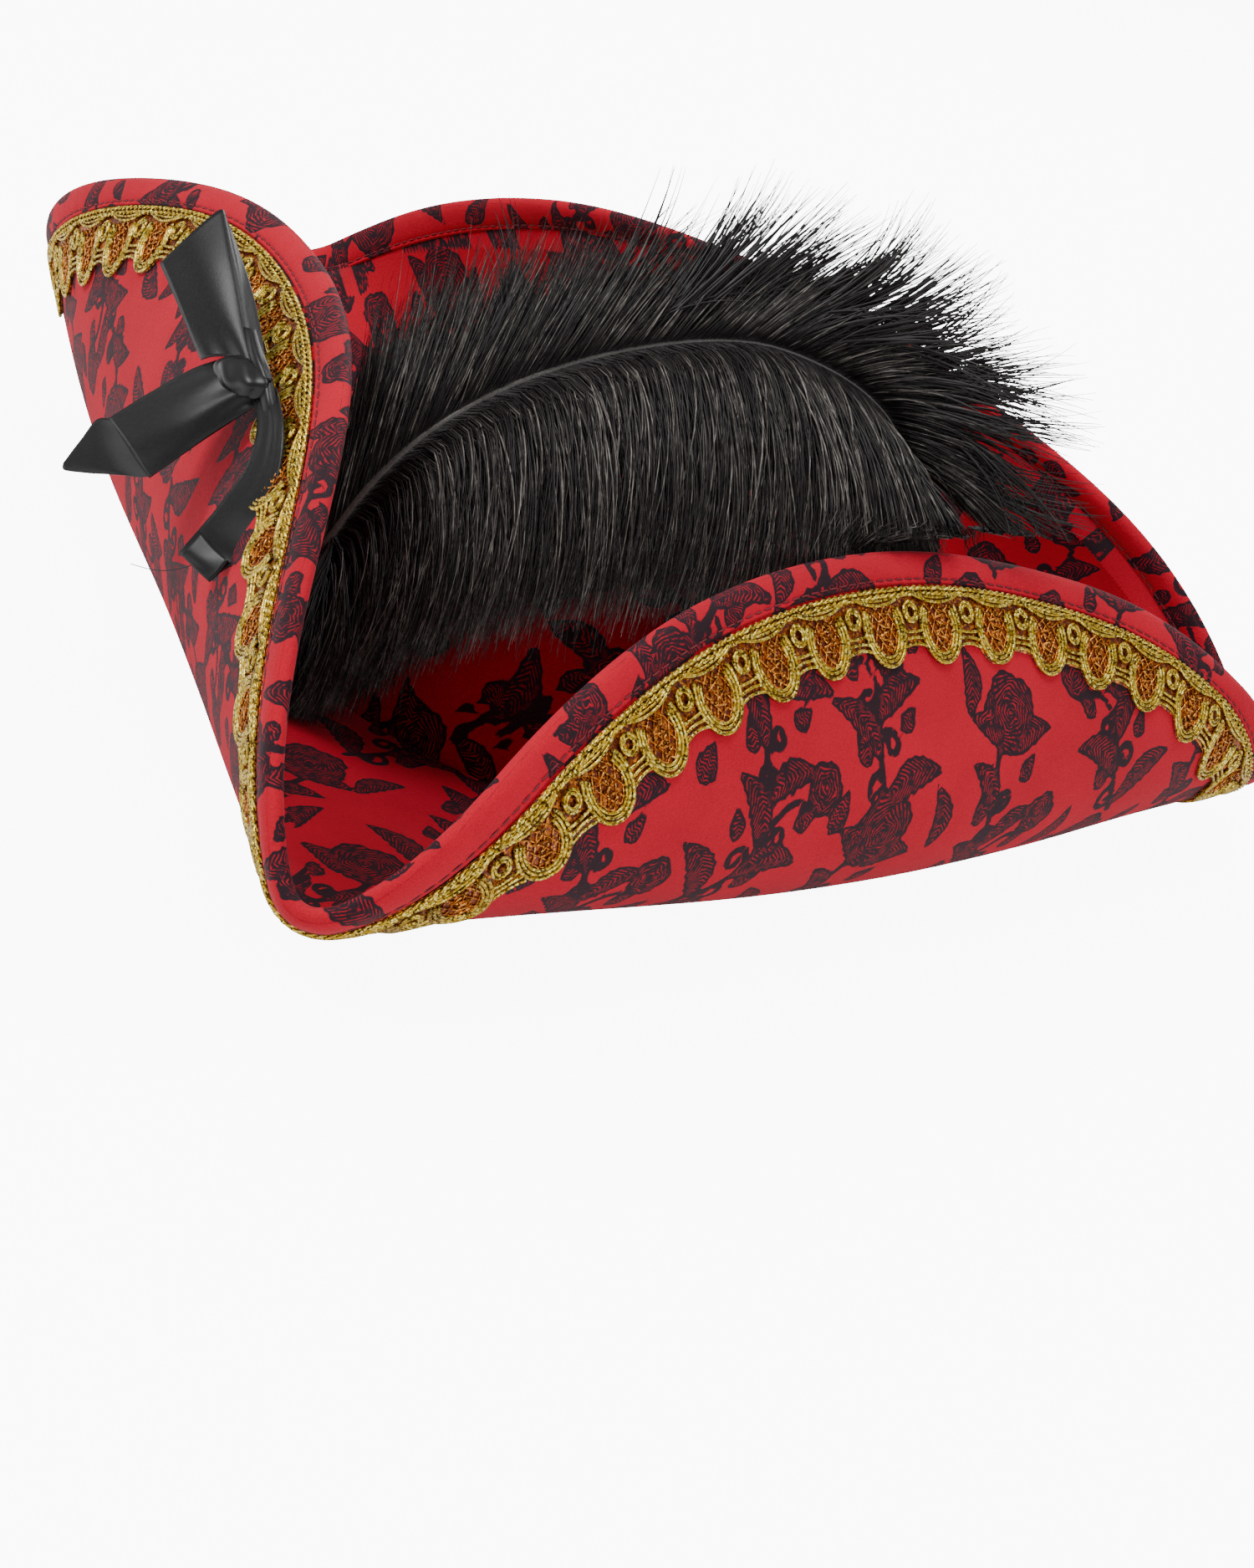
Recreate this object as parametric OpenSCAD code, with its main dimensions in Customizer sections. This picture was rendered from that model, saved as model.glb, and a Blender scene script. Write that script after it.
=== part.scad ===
// Tricorne pirate hat: a round brim turned up on three sides around a domed crown,
// edged with gold braid, with a ribbon bow and a plume on the wearer's left.
// Millimetres. +Z is up, the front corner points to -Y, the wearer's left is +X,
// and the origin is the centre of the head opening on the plane the hat stands on.

/* [Head opening] */
// Half the width of the head opening, side to side
head_half_w = 87; // [84:0.5:88]
// Half the length of the head opening, front to back
head_half_l = 100; // [97:0.5:101]
// Height of the sweatband
band_h = 24; // [18:1:26]

/* [Crown] */
// Height of the crown shell's inside above the opening
crown_h = 91; // [85:1:94]

/* [Brim] */
// Radius of the brim cut flat, before it is turned up
brim_r = 239; // [236:1:241]
// Distance from the centre to the fold of each side panel
side_fold = 114; // [112:1:115]
// Distance from the centre to the fold of the back panel
back_fold = 125; // [124:1:127]
// Bend radius of the side folds
side_bend = 17; // [16:1:18]
// Bend radius of the back fold
back_bend = 28; // [26:1:29]
// How far the side panels lean outwards above the fold, in degrees
side_lean = 22.5; // [21:0.5:24]
// How far the back panel leans in over the crown, in degrees
back_lean = 37; // [35:0.5:38]
// Inward roll of the side panels, degrees for each mm of height
side_curl = 0.716; // [0.68:0.002:0.74]
// Inward roll of the back panel, degrees for each mm of height
back_curl = 0.258; // [0.24:0.002:0.28]
// Rise of the brim from the crown outwards, in degrees
brim_slope = 5.65; // [5:0.05:6.2]
// Extra lift at the front corner
front_lift = 40; // [36:1:42]
// Drop at each rear corner
rear_drop = 10; // [8:1:11]

/* [Braid] */
// Width of the gold braid
braid_w = 21; // [19:0.5:22]
// Number of scallops round the brim
scallops = 58; // [54:1:62]

/* [Bow and plume] */
// Radius of the ribbon knot
knot_r = 6; // [5:0.5:6.5]
// Width of the satin ribbon
ribbon_w = 25; // [22:1:25]
// Radius of the plume's shaft at its foot
quill_r = 1.8; // [1.4:0.1:1.9]

/* [Hidden] */

// Levels through the brim, measured from its middle surface; minus is the outer face
core_face = 1.1;
cover_in = 1.15;
cover_out = 1.9;
binding_under = 2.0;
binding_face = 2.65;
braid_face = 2.7;
cord_r = 0.9;
cord_level = -(braid_face + cord_r + 0.05);
brim_z = 2.7;                   // height of the brim's middle surface where it meets the crown
seam_gap = 1.8;                 // from the head opening to the brim's inner edge
hem = 8.5;                      // width of the folded hem
board_in = 6.5;                 // distance of the board's edge in from the brim's edge
crown_base = 5.4;               // height where the crown shells begin
segs = 84;                      // steps round the brim
rows = 7;                       // steps across the brim, up to the braid
band_gap = 0.5;                 // bare cloth on each side of the braid's ground

// Panels: direction, fold distance, bend radius, lean, inward roll, bow of the fold line
PANELS = [
    [-21, side_fold, side_bend, side_lean, side_curl, 1.05],
    [201, side_fold, side_bend, side_lean, side_curl, 1.05],
    [90, back_fold, back_bend, -back_lean, back_curl, 0.95]
];
// Corner lifts: direction, height
LIFTS = [[270, front_lift], [10, -rear_drop], [170, -rear_drop]];

// Radius of the head's oval at an angle, grown by g
function oval(th, g = 0) =
    let (a = head_half_w + g, b = head_half_l + g)
    a * b / sqrt(pow(b * cos(th), 2) + pow(a * sin(th), 2));
function wrap(a) = (a % 360 + 540) % 360 - 180;
function unit(v) = v / norm(v);
// Step i of n round the brim, with closer steps where the three corners bend
function turn(i, n) = let (a = i * 360 / n) a - 8 * sin(3 * (a - 30));

// Height of the brim before its panels are turned up
function brim_rise(rho, th) =
    let (r0 = oval(th, seam_gap), q = (rho - r0) / (brim_r - r0),
         lifts = [for (l = LIFTS)
             l[1] * pow(max(q, 0), 1.5) * pow(max(cos(th - l[0]), 0), 8)])
    brim_z + (rho - r0) * tan(brim_slope) + lifts[0] + lifts[1] + lifts[2];

// Shift that one panel's fold gives to a point of the brim
function panel_shift(rho, th, p) =
    let (phi = wrap(th - p[0]), k = p[5],
         t = abs(phi) < 90 / k ? rho * cos(k * phi) : 0,
         u = max(t - p[1], 0), pm = 90 - p[3], b = p[2],
         a = min(u / b * 180 / PI, pm), v = max(u - b * pm * PI / 180, 0),
         w = pm + p[4] * v, g = p[4] * PI / 180,
         n = b * sin(a) + (sin(w) - sin(pm)) / g,
         h = b * (1 - cos(a)) + (cos(pm) - cos(w)) / g,
         an = p[0] + (1 - k) * phi)
    [(n - u) * cos(an), (n - u) * sin(an), h];

// A point of the brim's middle surface, from its place on the flat brim
function brim_mid(rho, th) =
    [rho * cos(th), rho * sin(th), brim_rise(rho, th)]
    + panel_shift(rho, th, PANELS[0]) + panel_shift(rho, th, PANELS[1])
    + panel_shift(rho, th, PANELS[2]);
function brim_normal(rho, th, e = 0.5) =
    unit(cross(brim_mid(rho + e, th) - brim_mid(rho - e, th),
               brim_mid(rho, th + e) - brim_mid(rho, th - e)));
// A point at a level above (plus) or below (minus) the middle surface
function brim_pt(rho, th, level) = brim_mid(rho, th) + level * brim_normal(rho, th);

// Closed skin over loops of points that close on themselves, like a ring. Where back is
// true for a step of the loop, its four-cornered faces are split the other way, so that
// two layers that run in opposite directions are split alike and lie flat on each other.
module ring_mesh(loops, back = []) {
    n = len(loops);
    m = len(loops[0]);
    polyhedron(
        points = [for (l = loops) each l],
        faces = [for (i = [0:n - 1], j = [0:m - 1])
            let (k = (i + 1) % n, l = (j + 1) % m,
                 a = i * m + j, b = i * m + l, c = k * m + l, d = k * m + j)
            each back[j] ? [[a, d, b], [d, c, b]] : [[a, c, b], [a, d, c]]]
    );
}

// Closed skin over loops of points with a flat cap at each end
module bar_mesh(loops) {
    n = len(loops);
    m = len(loops[0]);
    polyhedron(
        points = [for (l = loops) each l],
        faces = [
            for (i = [0:n - 2], j = [0:m - 1]) let (l = (j + 1) % m)
                each [[i * m + j, (i + 1) * m + l, i * m + l],
                      [i * m + j, (i + 1) * m + j, (i + 1) * m + l]],
            for (j = [1:m - 2]) [0, j, j + 1],
            for (j = [1:m - 2]) let (s = (n - 1) * m) [s, s + j + 1, s + j]
        ]
    );
}

// A band that follows the brim: profile points are [distance in from the edge, level],
// with distances over span given as a share of the way on to the crown seam
module edge_band(profile) {
    m = len(profile);
    ring_mesh(
        [for (i = [0:segs - 1]) let (th = turn(i, segs)) [for (p = profile) brim_pt(rho_at(p[0], th), th, p[1])]],
        [for (j = [0:m - 1]) profile[(j + 1) % m][0] > profile[j][0]]);
}

// Stations across the brim. The outer ones are distances in from the edge; past the
// braid they go on in equal shares, counted from 1000, to the crown seam.
braid_in = hem + 2 * band_gap + braid_w;
STATIONS = concat([0, board_in, hem, hem + band_gap + braid_w / 2, braid_in],
                  [for (j = [1:rows]) 1000 + j / rows]);
function rho_at(d, th) =
    let (inner = brim_r - braid_in, r0 = oval(th, seam_gap))
    d < 1000 ? brim_r - d : inner + (r0 - inner) * (d - 1000);

// One layer of the brim between two levels, from station first inwards to the crown seam
module brim_layer(low, high, first = 0) {
    last = len(STATIONS) - 1;
    edge_band(concat([for (j = [last:-1:first]) [STATIONS[j], low]],
                     [for (j = [first:last]) [STATIONS[j], high]]));
}

// A cord that follows the brim, at a level, with its distance in from the edge given
// by depth + wave * |sin|, repeated as often as asked
module edge_cord(depth, level, r, sides, steps, wave = 0, repeats = 0) {
    function at(i) = let (th = turn(i, steps))
        brim_pt(brim_r - depth - wave * abs(sin(180 * repeats * i / steps)), th, level);
    ring_mesh([for (i = [0:steps - 1])
        let (c = at(i), t = unit(at(i + 1) - at(i - 1)),
             n = brim_normal(brim_r - depth, turn(i, steps)), s = unit(cross(t, n)),
             m = cross(s, t))
        [for (j = [0:sides - 1]) c + r * (cos(j * 360 / sides) * s + sin(j * 360 / sides) * m)]]);
}

// One stitch: a short length of thread between two points
module stitch(a, b, r = 0.35) {
    d = b - a;
    translate(a) rotate([0, acos(d[2] / norm(d)), atan2(d[1], d[0])])
        cylinder(h = norm(d), r = r, $fn = 6);
}

// A shell of the crown between two offsets from the head's oval
module crown_shell(low, high, around = 40, up = 7) {
    function dome(g, i, j) =
        let (th = i * 360 / around, a = 90 * j / up, s = pow(sin(a), 1.06),
             k = pow(1 - pow(s, 3), 0.45))
        [oval(th, g) * k * cos(th), oval(th, g) * k * sin(th),
         crown_base + (crown_h + g - crown_base) * s];
    pts = concat(
        [for (j = [0:up - 1], i = [0:around - 1]) dome(high, i, j)],
        [for (j = [0:up - 1], i = [0:around - 1]) dome(low, i, j)],
        [[0, 0, crown_h + high], [0, 0, crown_h + low]]);
    half = around * up;
    top = 2 * half;
    polyhedron(points = pts, faces = [
        for (j = [0:up - 2], i = [0:around - 1])
            let (k = (i + 1) % around, a = j * around + i, b = j * around + k)
            each [[a, a + around, b + around], [a, b + around, b],
                  [half + a, half + b + around, half + a + around],
                  [half + a, half + b, half + b + around]],
        for (i = [0:around - 1])
            let (k = (i + 1) % around, l = (up - 1) * around)
            each [[l + i, top, l + k], [half + l + i, half + l + k, top + 1],
                  [i, k, half + k], [i, half + k, half + i]]
    ]);
}

module brim_outer_cover() { color("crimson") brim_layer(-cover_out, -cover_in); }
module brim_core() { color("dimgray") brim_layer(-core_face, core_face, 1); }
module brim_inner_cover() { color("crimson") brim_layer(cover_in, cover_out); }

module brim_edge_wire() {
    color("silver") edge_cord(depth = 3.2, level = 0, r = 0.8, sides = 6, steps = segs);
}

module brim_edge_binding() {
    color("firebrick") edge_band([
        [hem, -binding_face], [board_in, -binding_face], [-0.8, -binding_face],
        [-0.8, binding_face], [board_in, binding_face], [hem, binding_face],
        [hem, binding_under], [board_in, binding_under], [-0.1, binding_under],
        [-0.1, -binding_under], [board_in, -binding_under], [hem, -binding_under]]);
}

// The stitches lie on the binding's flat faces, over the edge of the board
module hem_stitching() {
    level = binding_face + 0.4;
    color("darkred") for (i = [0:segs - 1]) {
        a = brim_pt(brim_r - board_in, turn(i, segs), level);
        b = brim_pt(brim_r - board_in, turn(i + 1, segs), level);
        stitch(a + 0.2 * (b - a), a + 0.6 * (b - a), 0.3);
    }
}

module braid_band() {
    near = hem + band_gap;
    mid = near + braid_w / 2;
    far = near + braid_w;
    color("goldenrod") edge_band([
        [far, -braid_face], [mid, -braid_face], [near, -braid_face],
        [near, -binding_under], [mid, -binding_under], [far, -binding_under]]);
}

module braid_heading_cords() {
    color("gold") for (d = [2.5, 7])
        edge_cord(depth = hem + d, level = cord_level, r = cord_r, sides = 5, steps = 110);
}

module braid_scallop_cord() {
    color("gold") edge_cord(depth = hem + 9.5, level = cord_level, r = cord_r, sides = 4,
        steps = scallops * 5, wave = braid_w - 10, repeats = scallops);
}

module crown_cover() { color("crimson") crown_shell(4.8, 5.8); }
module crown_core() { color("dimgray") crown_shell(3.25, 4.75); }
module crown_lining() { color("black") crown_shell(2.6, 3.2); }

module oval_outline(g) {
    polygon([for (i = [0:47]) let (th = i * 7.5) oval(th, g) * [cos(th), sin(th)]]);
}

module sweatband() {
    color("black") linear_extrude(height = band_h) difference() {
        oval_outline(1.5);
        oval_outline(0);
    }
}

module sweatband_stitching() {
    function at(th) = [oval(th, -0.75) * cos(th), oval(th, -0.75) * sin(th), band_h - 3];
    color("dimgray") for (i = [0:9:351]) stitch(at(i), at(i + 3.5));
}

module care_label() {
    color("white") translate([-10, head_half_l - 2.6, 4]) cube([20, 0.4, 14]);
}

// The bow: the knot sits on the braid on the wearer's left, the tails leave it
knot_in = 22;                   // distance in from the edge
knot_at = 351;                  // direction round the brim
knot = brim_pt(brim_r - knot_in, knot_at, cord_level - cord_r - 0.3 - knot_r);
root_gap = knot_r + 0.9;

// A length of ribbon from the knot: points of its middle line, its width direction at
// each, and its width there
module ribbon(line, across, widths, thick = 0.8) {
    last = len(line) - 1;
    bar_mesh([for (i = [0:last])
        let (t = unit(line[min(i + 1, last)] - line[max(i - 1, 0)]),
             s = unit(across[i] - (across[i] * t) * t), n = cross(t, s),
             w = widths[i] / 2, h = thick / 2)
        [line[i] - w * s - h * n, line[i] + w * s - h * n,
         line[i] + w * s + h * n, line[i] - w * s + h * n]]);
}

module bow_knot() { color("black") translate(knot) sphere(r = knot_r, $fn = 24); }

module bow_upper_tail() {
    run = [-6, -41, 28];
    rise = [4, 0, 4];
    line = [for (i = [0:5]) let (s = i / 5)
        knot + root_gap * unit(run) + s * (run - root_gap * unit(run)) + 4 * s * (1 - s) * rise];
    color("black") ribbon(line, [for (i = line) [-0.62, 0.17, 0.77]],
        [8, 17, 23, ribbon_w, ribbon_w, ribbon_w]);
}

module bow_front_tail() {
    run = [21, -36, -38];
    rise = [5, 0, 6];
    line = [for (i = [0:5]) let (s = i / 5)
        knot + root_gap * unit(run) + s * (run - root_gap * unit(run)) + 4 * s * (1 - s) * rise];
    color("black") ribbon(line, [for (i = line) [0.1, -0.62, 0.6]],
        [8, 15, 18, 17, 12, 5]);
}

module bow_lower_tail() {
    run = [19, 21, -40];
    rise = [4, 2, 4];
    line = [for (i = [0:5]) let (s = i / 5)
        knot + root_gap * unit(run) + s * (run - root_gap * unit(run)) + 4 * s * (1 - s) * rise];
    color("black") ribbon(line, [for (i = line) [0.75, -0.3, 0.2]],
        [6, 8, 10, 10, 10, 9]);
}

module bow_stitches() {
    foot = -(braid_face + 0.1);
    color("dimgray") for (d = [-2.5, 0, 2.5])
        stitch(brim_pt(brim_r - knot_in, knot_at + d / 4, foot - 2),
               knot + [0, d / 2, 0] + (knot_r - 1) * brim_normal(brim_r - knot_in, knot_at));
}

// The plume: points of its shaft from the foot to the tip
SHAFT = [
    [104, -32, 10], [107, -22, 14], [108, -11, 27], [104, -2, 48], [96, 4, 73], [82, 10, 94],
    [61, 20, 113], [36, 34, 128], [12, 49, 136], [-8, 63, 134], [-21, 76, 127], [-29, 88, 114]
];
out_dir = [0.72, 0.69, 0];      // level direction from the crown towards the left rear corner
shaft_last = len(SHAFT) - 1;
function shaft_dir(i) =
    unit(SHAFT[min(i + 1, shaft_last)] - SHAFT[max(i - 1, 0)]);

module feather_quill() {
    color("gray") bar_mesh([for (i = [0:shaft_last])
        let (t = shaft_dir(i), s = unit(cross(t, out_dir)), n = cross(s, t),
             r = quill_r * (1 - 0.75 * i / shaft_last))
        [for (j = [0:7]) SHAFT[i] + r * (cos(j * 45) * s + sin(j * 45) * n)]]);
}

// One side of the plume: a thin sheet from beside the shaft to the barbs' tips. reach
// is the barbs' length, dir their direction and bow how far they arch outwards.
module vane(first, reach, dir, bow, thick = 3) {
    steps = 4;
    bar_mesh([for (i = [first:shaft_last])
        let (s = (i - first) / (shaft_last - first), t = shaft_dir(i),
             d = unit(dir(s) - 0.5 * (dir(s) * t) * t), n = unit(cross(t, d)),
             len_i = reach * (0.45 + 0.55 * pow(sin(180 * pow(s, 0.8)), 0.6)),
             edge = [for (k = [0:steps]) let (q = k / steps)
                 SHAFT[i] + (quill_r + 0.4 + q * (len_i - quill_r)) * d
                 + 4 * q * (1 - q) * bow * out_dir])
        concat([for (p = edge) p - thick / 2 * n], [for (k = [steps:-1:0]) edge[k] + thick / 2 * n])]);
}

module feather_upper_vane() {
    color("black") vane(3, 50, function(s) [-0.5 - 0.1 * s, -0.42 + 0.3 * s, 0.75 - 0.2 * s], 3);
}

module feather_lower_vane() {
    color("black") vane(3, 70, function(s) [0.3, 0.62 - 0.1 * s, -0.62 - 0.1 * s], 8);
}

// The patch and its stitches lie on the flat of the brim, between crown and fold
module quill_patch() {
    low = cover_out + 0.9;
    high = low + 0.8;
    color("firebrick") bar_mesh([for (th = [336:4:352])
        [brim_pt(98, th, low), brim_pt(111, th, low), brim_pt(111, th, high), brim_pt(98, th, high)]]);
}

module quill_stitches() {
    lift = cover_out + 2.15;
    color("black") for (th = [338:4:350], rho = [99.5, 104.5])
        stitch(brim_pt(rho, th, lift), brim_pt(rho, th + 1.5, lift), 0.3);
}

brim_outer_cover();
brim_core();
brim_inner_cover();
brim_edge_wire();
brim_edge_binding();
hem_stitching();
braid_band();
braid_heading_cords();
braid_scallop_cord();
crown_cover();
crown_core();
crown_lining();
sweatband();
sweatband_stitching();
care_label();
bow_knot();
bow_upper_tail();
bow_front_tail();
bow_lower_tail();
bow_stitches();
feather_quill();
feather_upper_vane();
feather_lower_vane();
quill_patch();
quill_stitches();
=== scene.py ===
# %% [markdown]
# # A tricorne pirate hat
# A tricorne starts as a flat round brim with a domed crown in its middle. Three stretches
# of the brim are turned up, which leaves three corners. This lesson rebuilds one from its
# cloth, gold braid, satin ribbon and ostrich plume around a measured frame of the hat.

# %% Load the frame
import math

import bpy
import numpy as np
from mathutils import Matrix, Vector


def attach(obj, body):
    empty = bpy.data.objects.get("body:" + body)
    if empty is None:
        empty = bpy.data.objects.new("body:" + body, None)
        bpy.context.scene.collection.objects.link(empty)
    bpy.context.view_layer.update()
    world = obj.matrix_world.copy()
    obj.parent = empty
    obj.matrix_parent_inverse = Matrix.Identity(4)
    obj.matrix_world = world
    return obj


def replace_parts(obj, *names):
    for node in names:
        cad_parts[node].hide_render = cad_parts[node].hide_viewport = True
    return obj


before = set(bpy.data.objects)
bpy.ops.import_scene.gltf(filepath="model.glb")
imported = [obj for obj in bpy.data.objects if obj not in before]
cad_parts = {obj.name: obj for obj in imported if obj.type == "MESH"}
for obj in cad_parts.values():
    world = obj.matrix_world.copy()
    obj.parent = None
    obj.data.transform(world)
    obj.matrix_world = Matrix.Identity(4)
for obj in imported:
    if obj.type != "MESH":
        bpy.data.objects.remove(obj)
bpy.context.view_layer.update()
MM = 0.001

# %% [markdown]
# ## Camera
# The hat is seen from behind its left side, a little above the brim, with the head of the
# camera rolled so that the hat seems to tip forward. The three axes below are unit vectors
# built from a compass angle, a height angle and the roll.

# %% Camera
CAMERA_AZIMUTH = math.radians(43.98)
CAMERA_HEIGHT = math.radians(23.05)
CAMERA_ROLL = math.radians(16.92)
CAMERA_DISTANCE = 0.9244
LOOK_AT = (0, 0, 0.0027)
AIM = (0.02582, -0.03874)


def make_camera():
    """Camera at a distance along the view direction, turned so that the lens axis passes
    AIM (right, up, as a share of the distance) of the point it looks at."""
    ca, sa = math.cos(CAMERA_AZIMUTH), math.sin(CAMERA_AZIMUTH)
    ch, sh = math.cos(CAMERA_HEIGHT), math.sin(CAMERA_HEIGHT)
    back = Vector((ca * ch, sa * ch, sh))
    right = Vector((-sa, ca, 0))
    up = back.cross(right)
    cr, sr = math.cos(CAMERA_ROLL), math.sin(CAMERA_ROLL)
    right, up = cr * right + sr * up, -sr * right + cr * up
    axis = -(-back + AIM[0] * right + AIM[1] * up).normalized()
    side = up.cross(axis).normalized()
    top = axis.cross(side)
    camera = bpy.data.objects.new("camera", bpy.data.cameras.new("camera"))
    bpy.context.scene.collection.objects.link(camera)
    turn = Matrix((side, top, axis)).transposed().to_4x4()
    camera.matrix_world = Matrix.Translation(Vector(LOOK_AT) + back * CAMERA_DISTANCE) @ turn
    camera.data.sensor_width = 36
    camera.data.lens = 66.9
    camera.data.clip_end = 50
    bpy.context.scene.camera = camera
    return camera


camera = make_camera()
print("camera at", [round(v, 3) for v in camera.location])

# %% [markdown]
# ## Studio lights
# A large soft key light stands to the left of the camera and a wide fill to its right. A
# third lamp hangs above, and a strip behind the hat puts a thin light on the plume's upper
# barbs. All are area lamps, which give soft edges to every shadow.

# %% Lights
def make_light(name, place, aim, size, power):
    """A square area lamp of a size in metres and a power in watts, turned to face aim."""
    data = bpy.data.lights.new(name, "AREA")
    data.size = size
    data.energy = power
    light = bpy.data.objects.new(name, data)
    bpy.context.scene.collection.objects.link(light)
    light.location = place
    light.rotation_euler = (Vector(aim) - Vector(place)).to_track_quat("-Z", "Y").to_euler()


make_light("key", (1.15, -0.75, 1.35), (0, 0, 0.06), 0.7, 24)
make_light("fill", (0.3, 1.7, 0.9), (0, 0, 0.06), 1.2, 13)
make_light("top", (-0.1, 0.1, 1.9), (0, 0, 0.1), 0.9, 18)
make_light("back_strip", (-1.3, -0.9, 1.1), (0, 0, 0.12), 0.8, 14)

# %% [markdown]
# ## Meshes from arrays
# Every piece below is worked out as whole arrays of points and then handed to the mesh in
# one go. Most are a grid of points over two parameters, so one helper turns a grid into
# faces and another makes the object, at the origin, with its place in its points.

# %% Mesh helpers
def grid_faces(rows, cols, wrap_rows=False, wrap_cols=False, first=0):
    """Four-cornered faces of a grid of rows x cols points, counted row by row. A wrapped
    direction joins its last line of points to its first."""
    r = np.arange(rows if wrap_rows else rows - 1)[:, None]
    c = np.arange(cols if wrap_cols else cols - 1)[None, :]
    r2, c2 = (r + 1) % rows, (c + 1) % cols
    quads = np.stack(np.broadcast_arrays(
        r * cols + c, r2 * cols + c, r2 * cols + c2, r * cols + c2), -1)
    return quads.reshape(-1, 4) + first


def make_piece(name, points, faces, material, body="hat", uv=None, fields=None):
    """A mesh object from points in millimetres and an array of equal-sided faces. uv and
    fields give each point a place on its cloth and any number of named values."""
    points = np.asarray(points, np.float64).reshape(-1, 3) * MM
    faces = np.asarray(faces, np.int32)
    mesh = bpy.data.meshes.new(name)
    count, sides = faces.shape
    mesh.vertices.add(len(points))
    mesh.vertices.foreach_set("co", points.astype(np.float32).ravel())
    mesh.loops.add(count * sides)
    mesh.loops.foreach_set("vertex_index", faces.ravel())
    mesh.polygons.add(count)
    mesh.polygons.foreach_set("loop_start", np.arange(count, dtype=np.int32) * sides)
    mesh.polygons.foreach_set("use_smooth", np.ones(count, bool))
    mesh.update(calc_edges=True)
    if uv is not None:
        layer = mesh.uv_layers.new(name="cloth")
        flat = np.asarray(uv, np.float32).reshape(-1, 2)[faces.ravel()]
        layer.data.foreach_set("uv", flat.ravel())
    for key, values in (fields or {}).items():
        layer = mesh.attributes.new(key, "FLOAT", "POINT")
        layer.data.foreach_set("value", np.asarray(values, np.float32).ravel())
    mesh.materials.append(material)
    piece = bpy.data.objects.new(name, mesh)
    bpy.context.scene.collection.objects.link(piece)
    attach(piece, body)
    print(f"{name}: {len(points)} points, {count * (sides - 2)} triangles")
    return piece


def unit(v):
    """v divided by its own length."""
    return v / np.maximum(np.linalg.norm(v, axis=-1, keepdims=True), 1e-9)


def capped_tubes(paths, radii, sides, normals=None, flatten=1.0):
    """Tubes round many paths at once. paths is (n, m, 3), radii (n, m). At each point a ring
    of `sides` points lies across the path, round a frame made from the path's direction and
    a guide direction; flatten squeezes the ring along the guide. Each end closes in a point
    of its own. Returns points and triangles."""
    n, m, _ = paths.shape
    along = unit(np.gradient(paths, axis=1))
    guide = np.broadcast_to(np.array([0.3, 0.2, 0.93]), paths.shape) if normals is None else normals
    across = unit(np.cross(along, guide))
    lift = np.cross(across, along)
    turn = np.arange(sides) * 2 * np.pi / sides
    ring = (np.cos(turn)[:, None] * across[:, :, None, :]
            + flatten * np.sin(turn)[:, None] * lift[:, :, None, :])
    shell = paths[:, :, None, :] + radii[:, :, None, None] * ring
    ends = paths[:, [0, -1]] + (along[:, [0, -1]] * radii[:, [0, -1], None]
                                * np.array([-0.6, 0.6])[None, :, None])
    points = np.concatenate([shell.reshape(n, -1, 3), ends], 1)
    one = grid_faces(m, sides, wrap_cols=True)
    one = one[:, ::-1]
    tris = np.concatenate([one[:, [0, 1, 2]], one[:, [0, 2, 3]]])
    k = np.arange(sides)
    first, last = m * sides, m * sides + 1
    tail = (m - 1) * sides
    caps = np.concatenate([
        np.stack([np.full(sides, first), k, (k + 1) % sides], -1),
        np.stack([np.full(sides, last), tail + (k + 1) % sides, tail + k], -1)])
    tris = np.concatenate([tris, caps])
    per = m * sides + 2
    faces = (tris[None] + (np.arange(n) * per)[:, None, None]).reshape(-1, 3)
    return points.reshape(-1, 3), faces


# %% [markdown]
# ## The turned-up brim
# The brim is a flat ring of board with cloth on both faces. A point of it is known by its
# distance from the centre and its direction on the flat ring. Each panel then turns up about
# a soft fold: the ring runs flat to the fold, round a bend, and on up the panel, which keeps
# rolling gently inwards. Working from the flat ring keeps the cloth's real size.

# %% Size of the brim
BRIM_R = 239.0
BRIM_Z = 2.7
SLOPE = math.tan(math.radians(5.65))
SEAM = (88.8, 101.8)
PANELS = (
    # direction, fold distance, bend radius, lean, inward roll per mm, bow of the fold
    (-21, 114, 17, 22.5, 0.716, 1.05),
    (201, 114, 17, 22.5, 0.716, 1.05),
    (90, 125, 28, -37, 0.258, 0.95),
)
LIFTS = ((270, 40), (10, -10), (170, -10))


print("brim", 2 * BRIM_R, "mm across when flat, opening", [2 * v for v in SEAM], "mm")


# %% Surface of the brim
def oval(angle, half_w=SEAM[0], half_l=SEAM[1]):
    """Radius of an ellipse at an angle."""
    return half_w * half_l / np.sqrt((half_l * np.cos(angle)) ** 2 + (half_w * np.sin(angle)) ** 2)


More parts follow.
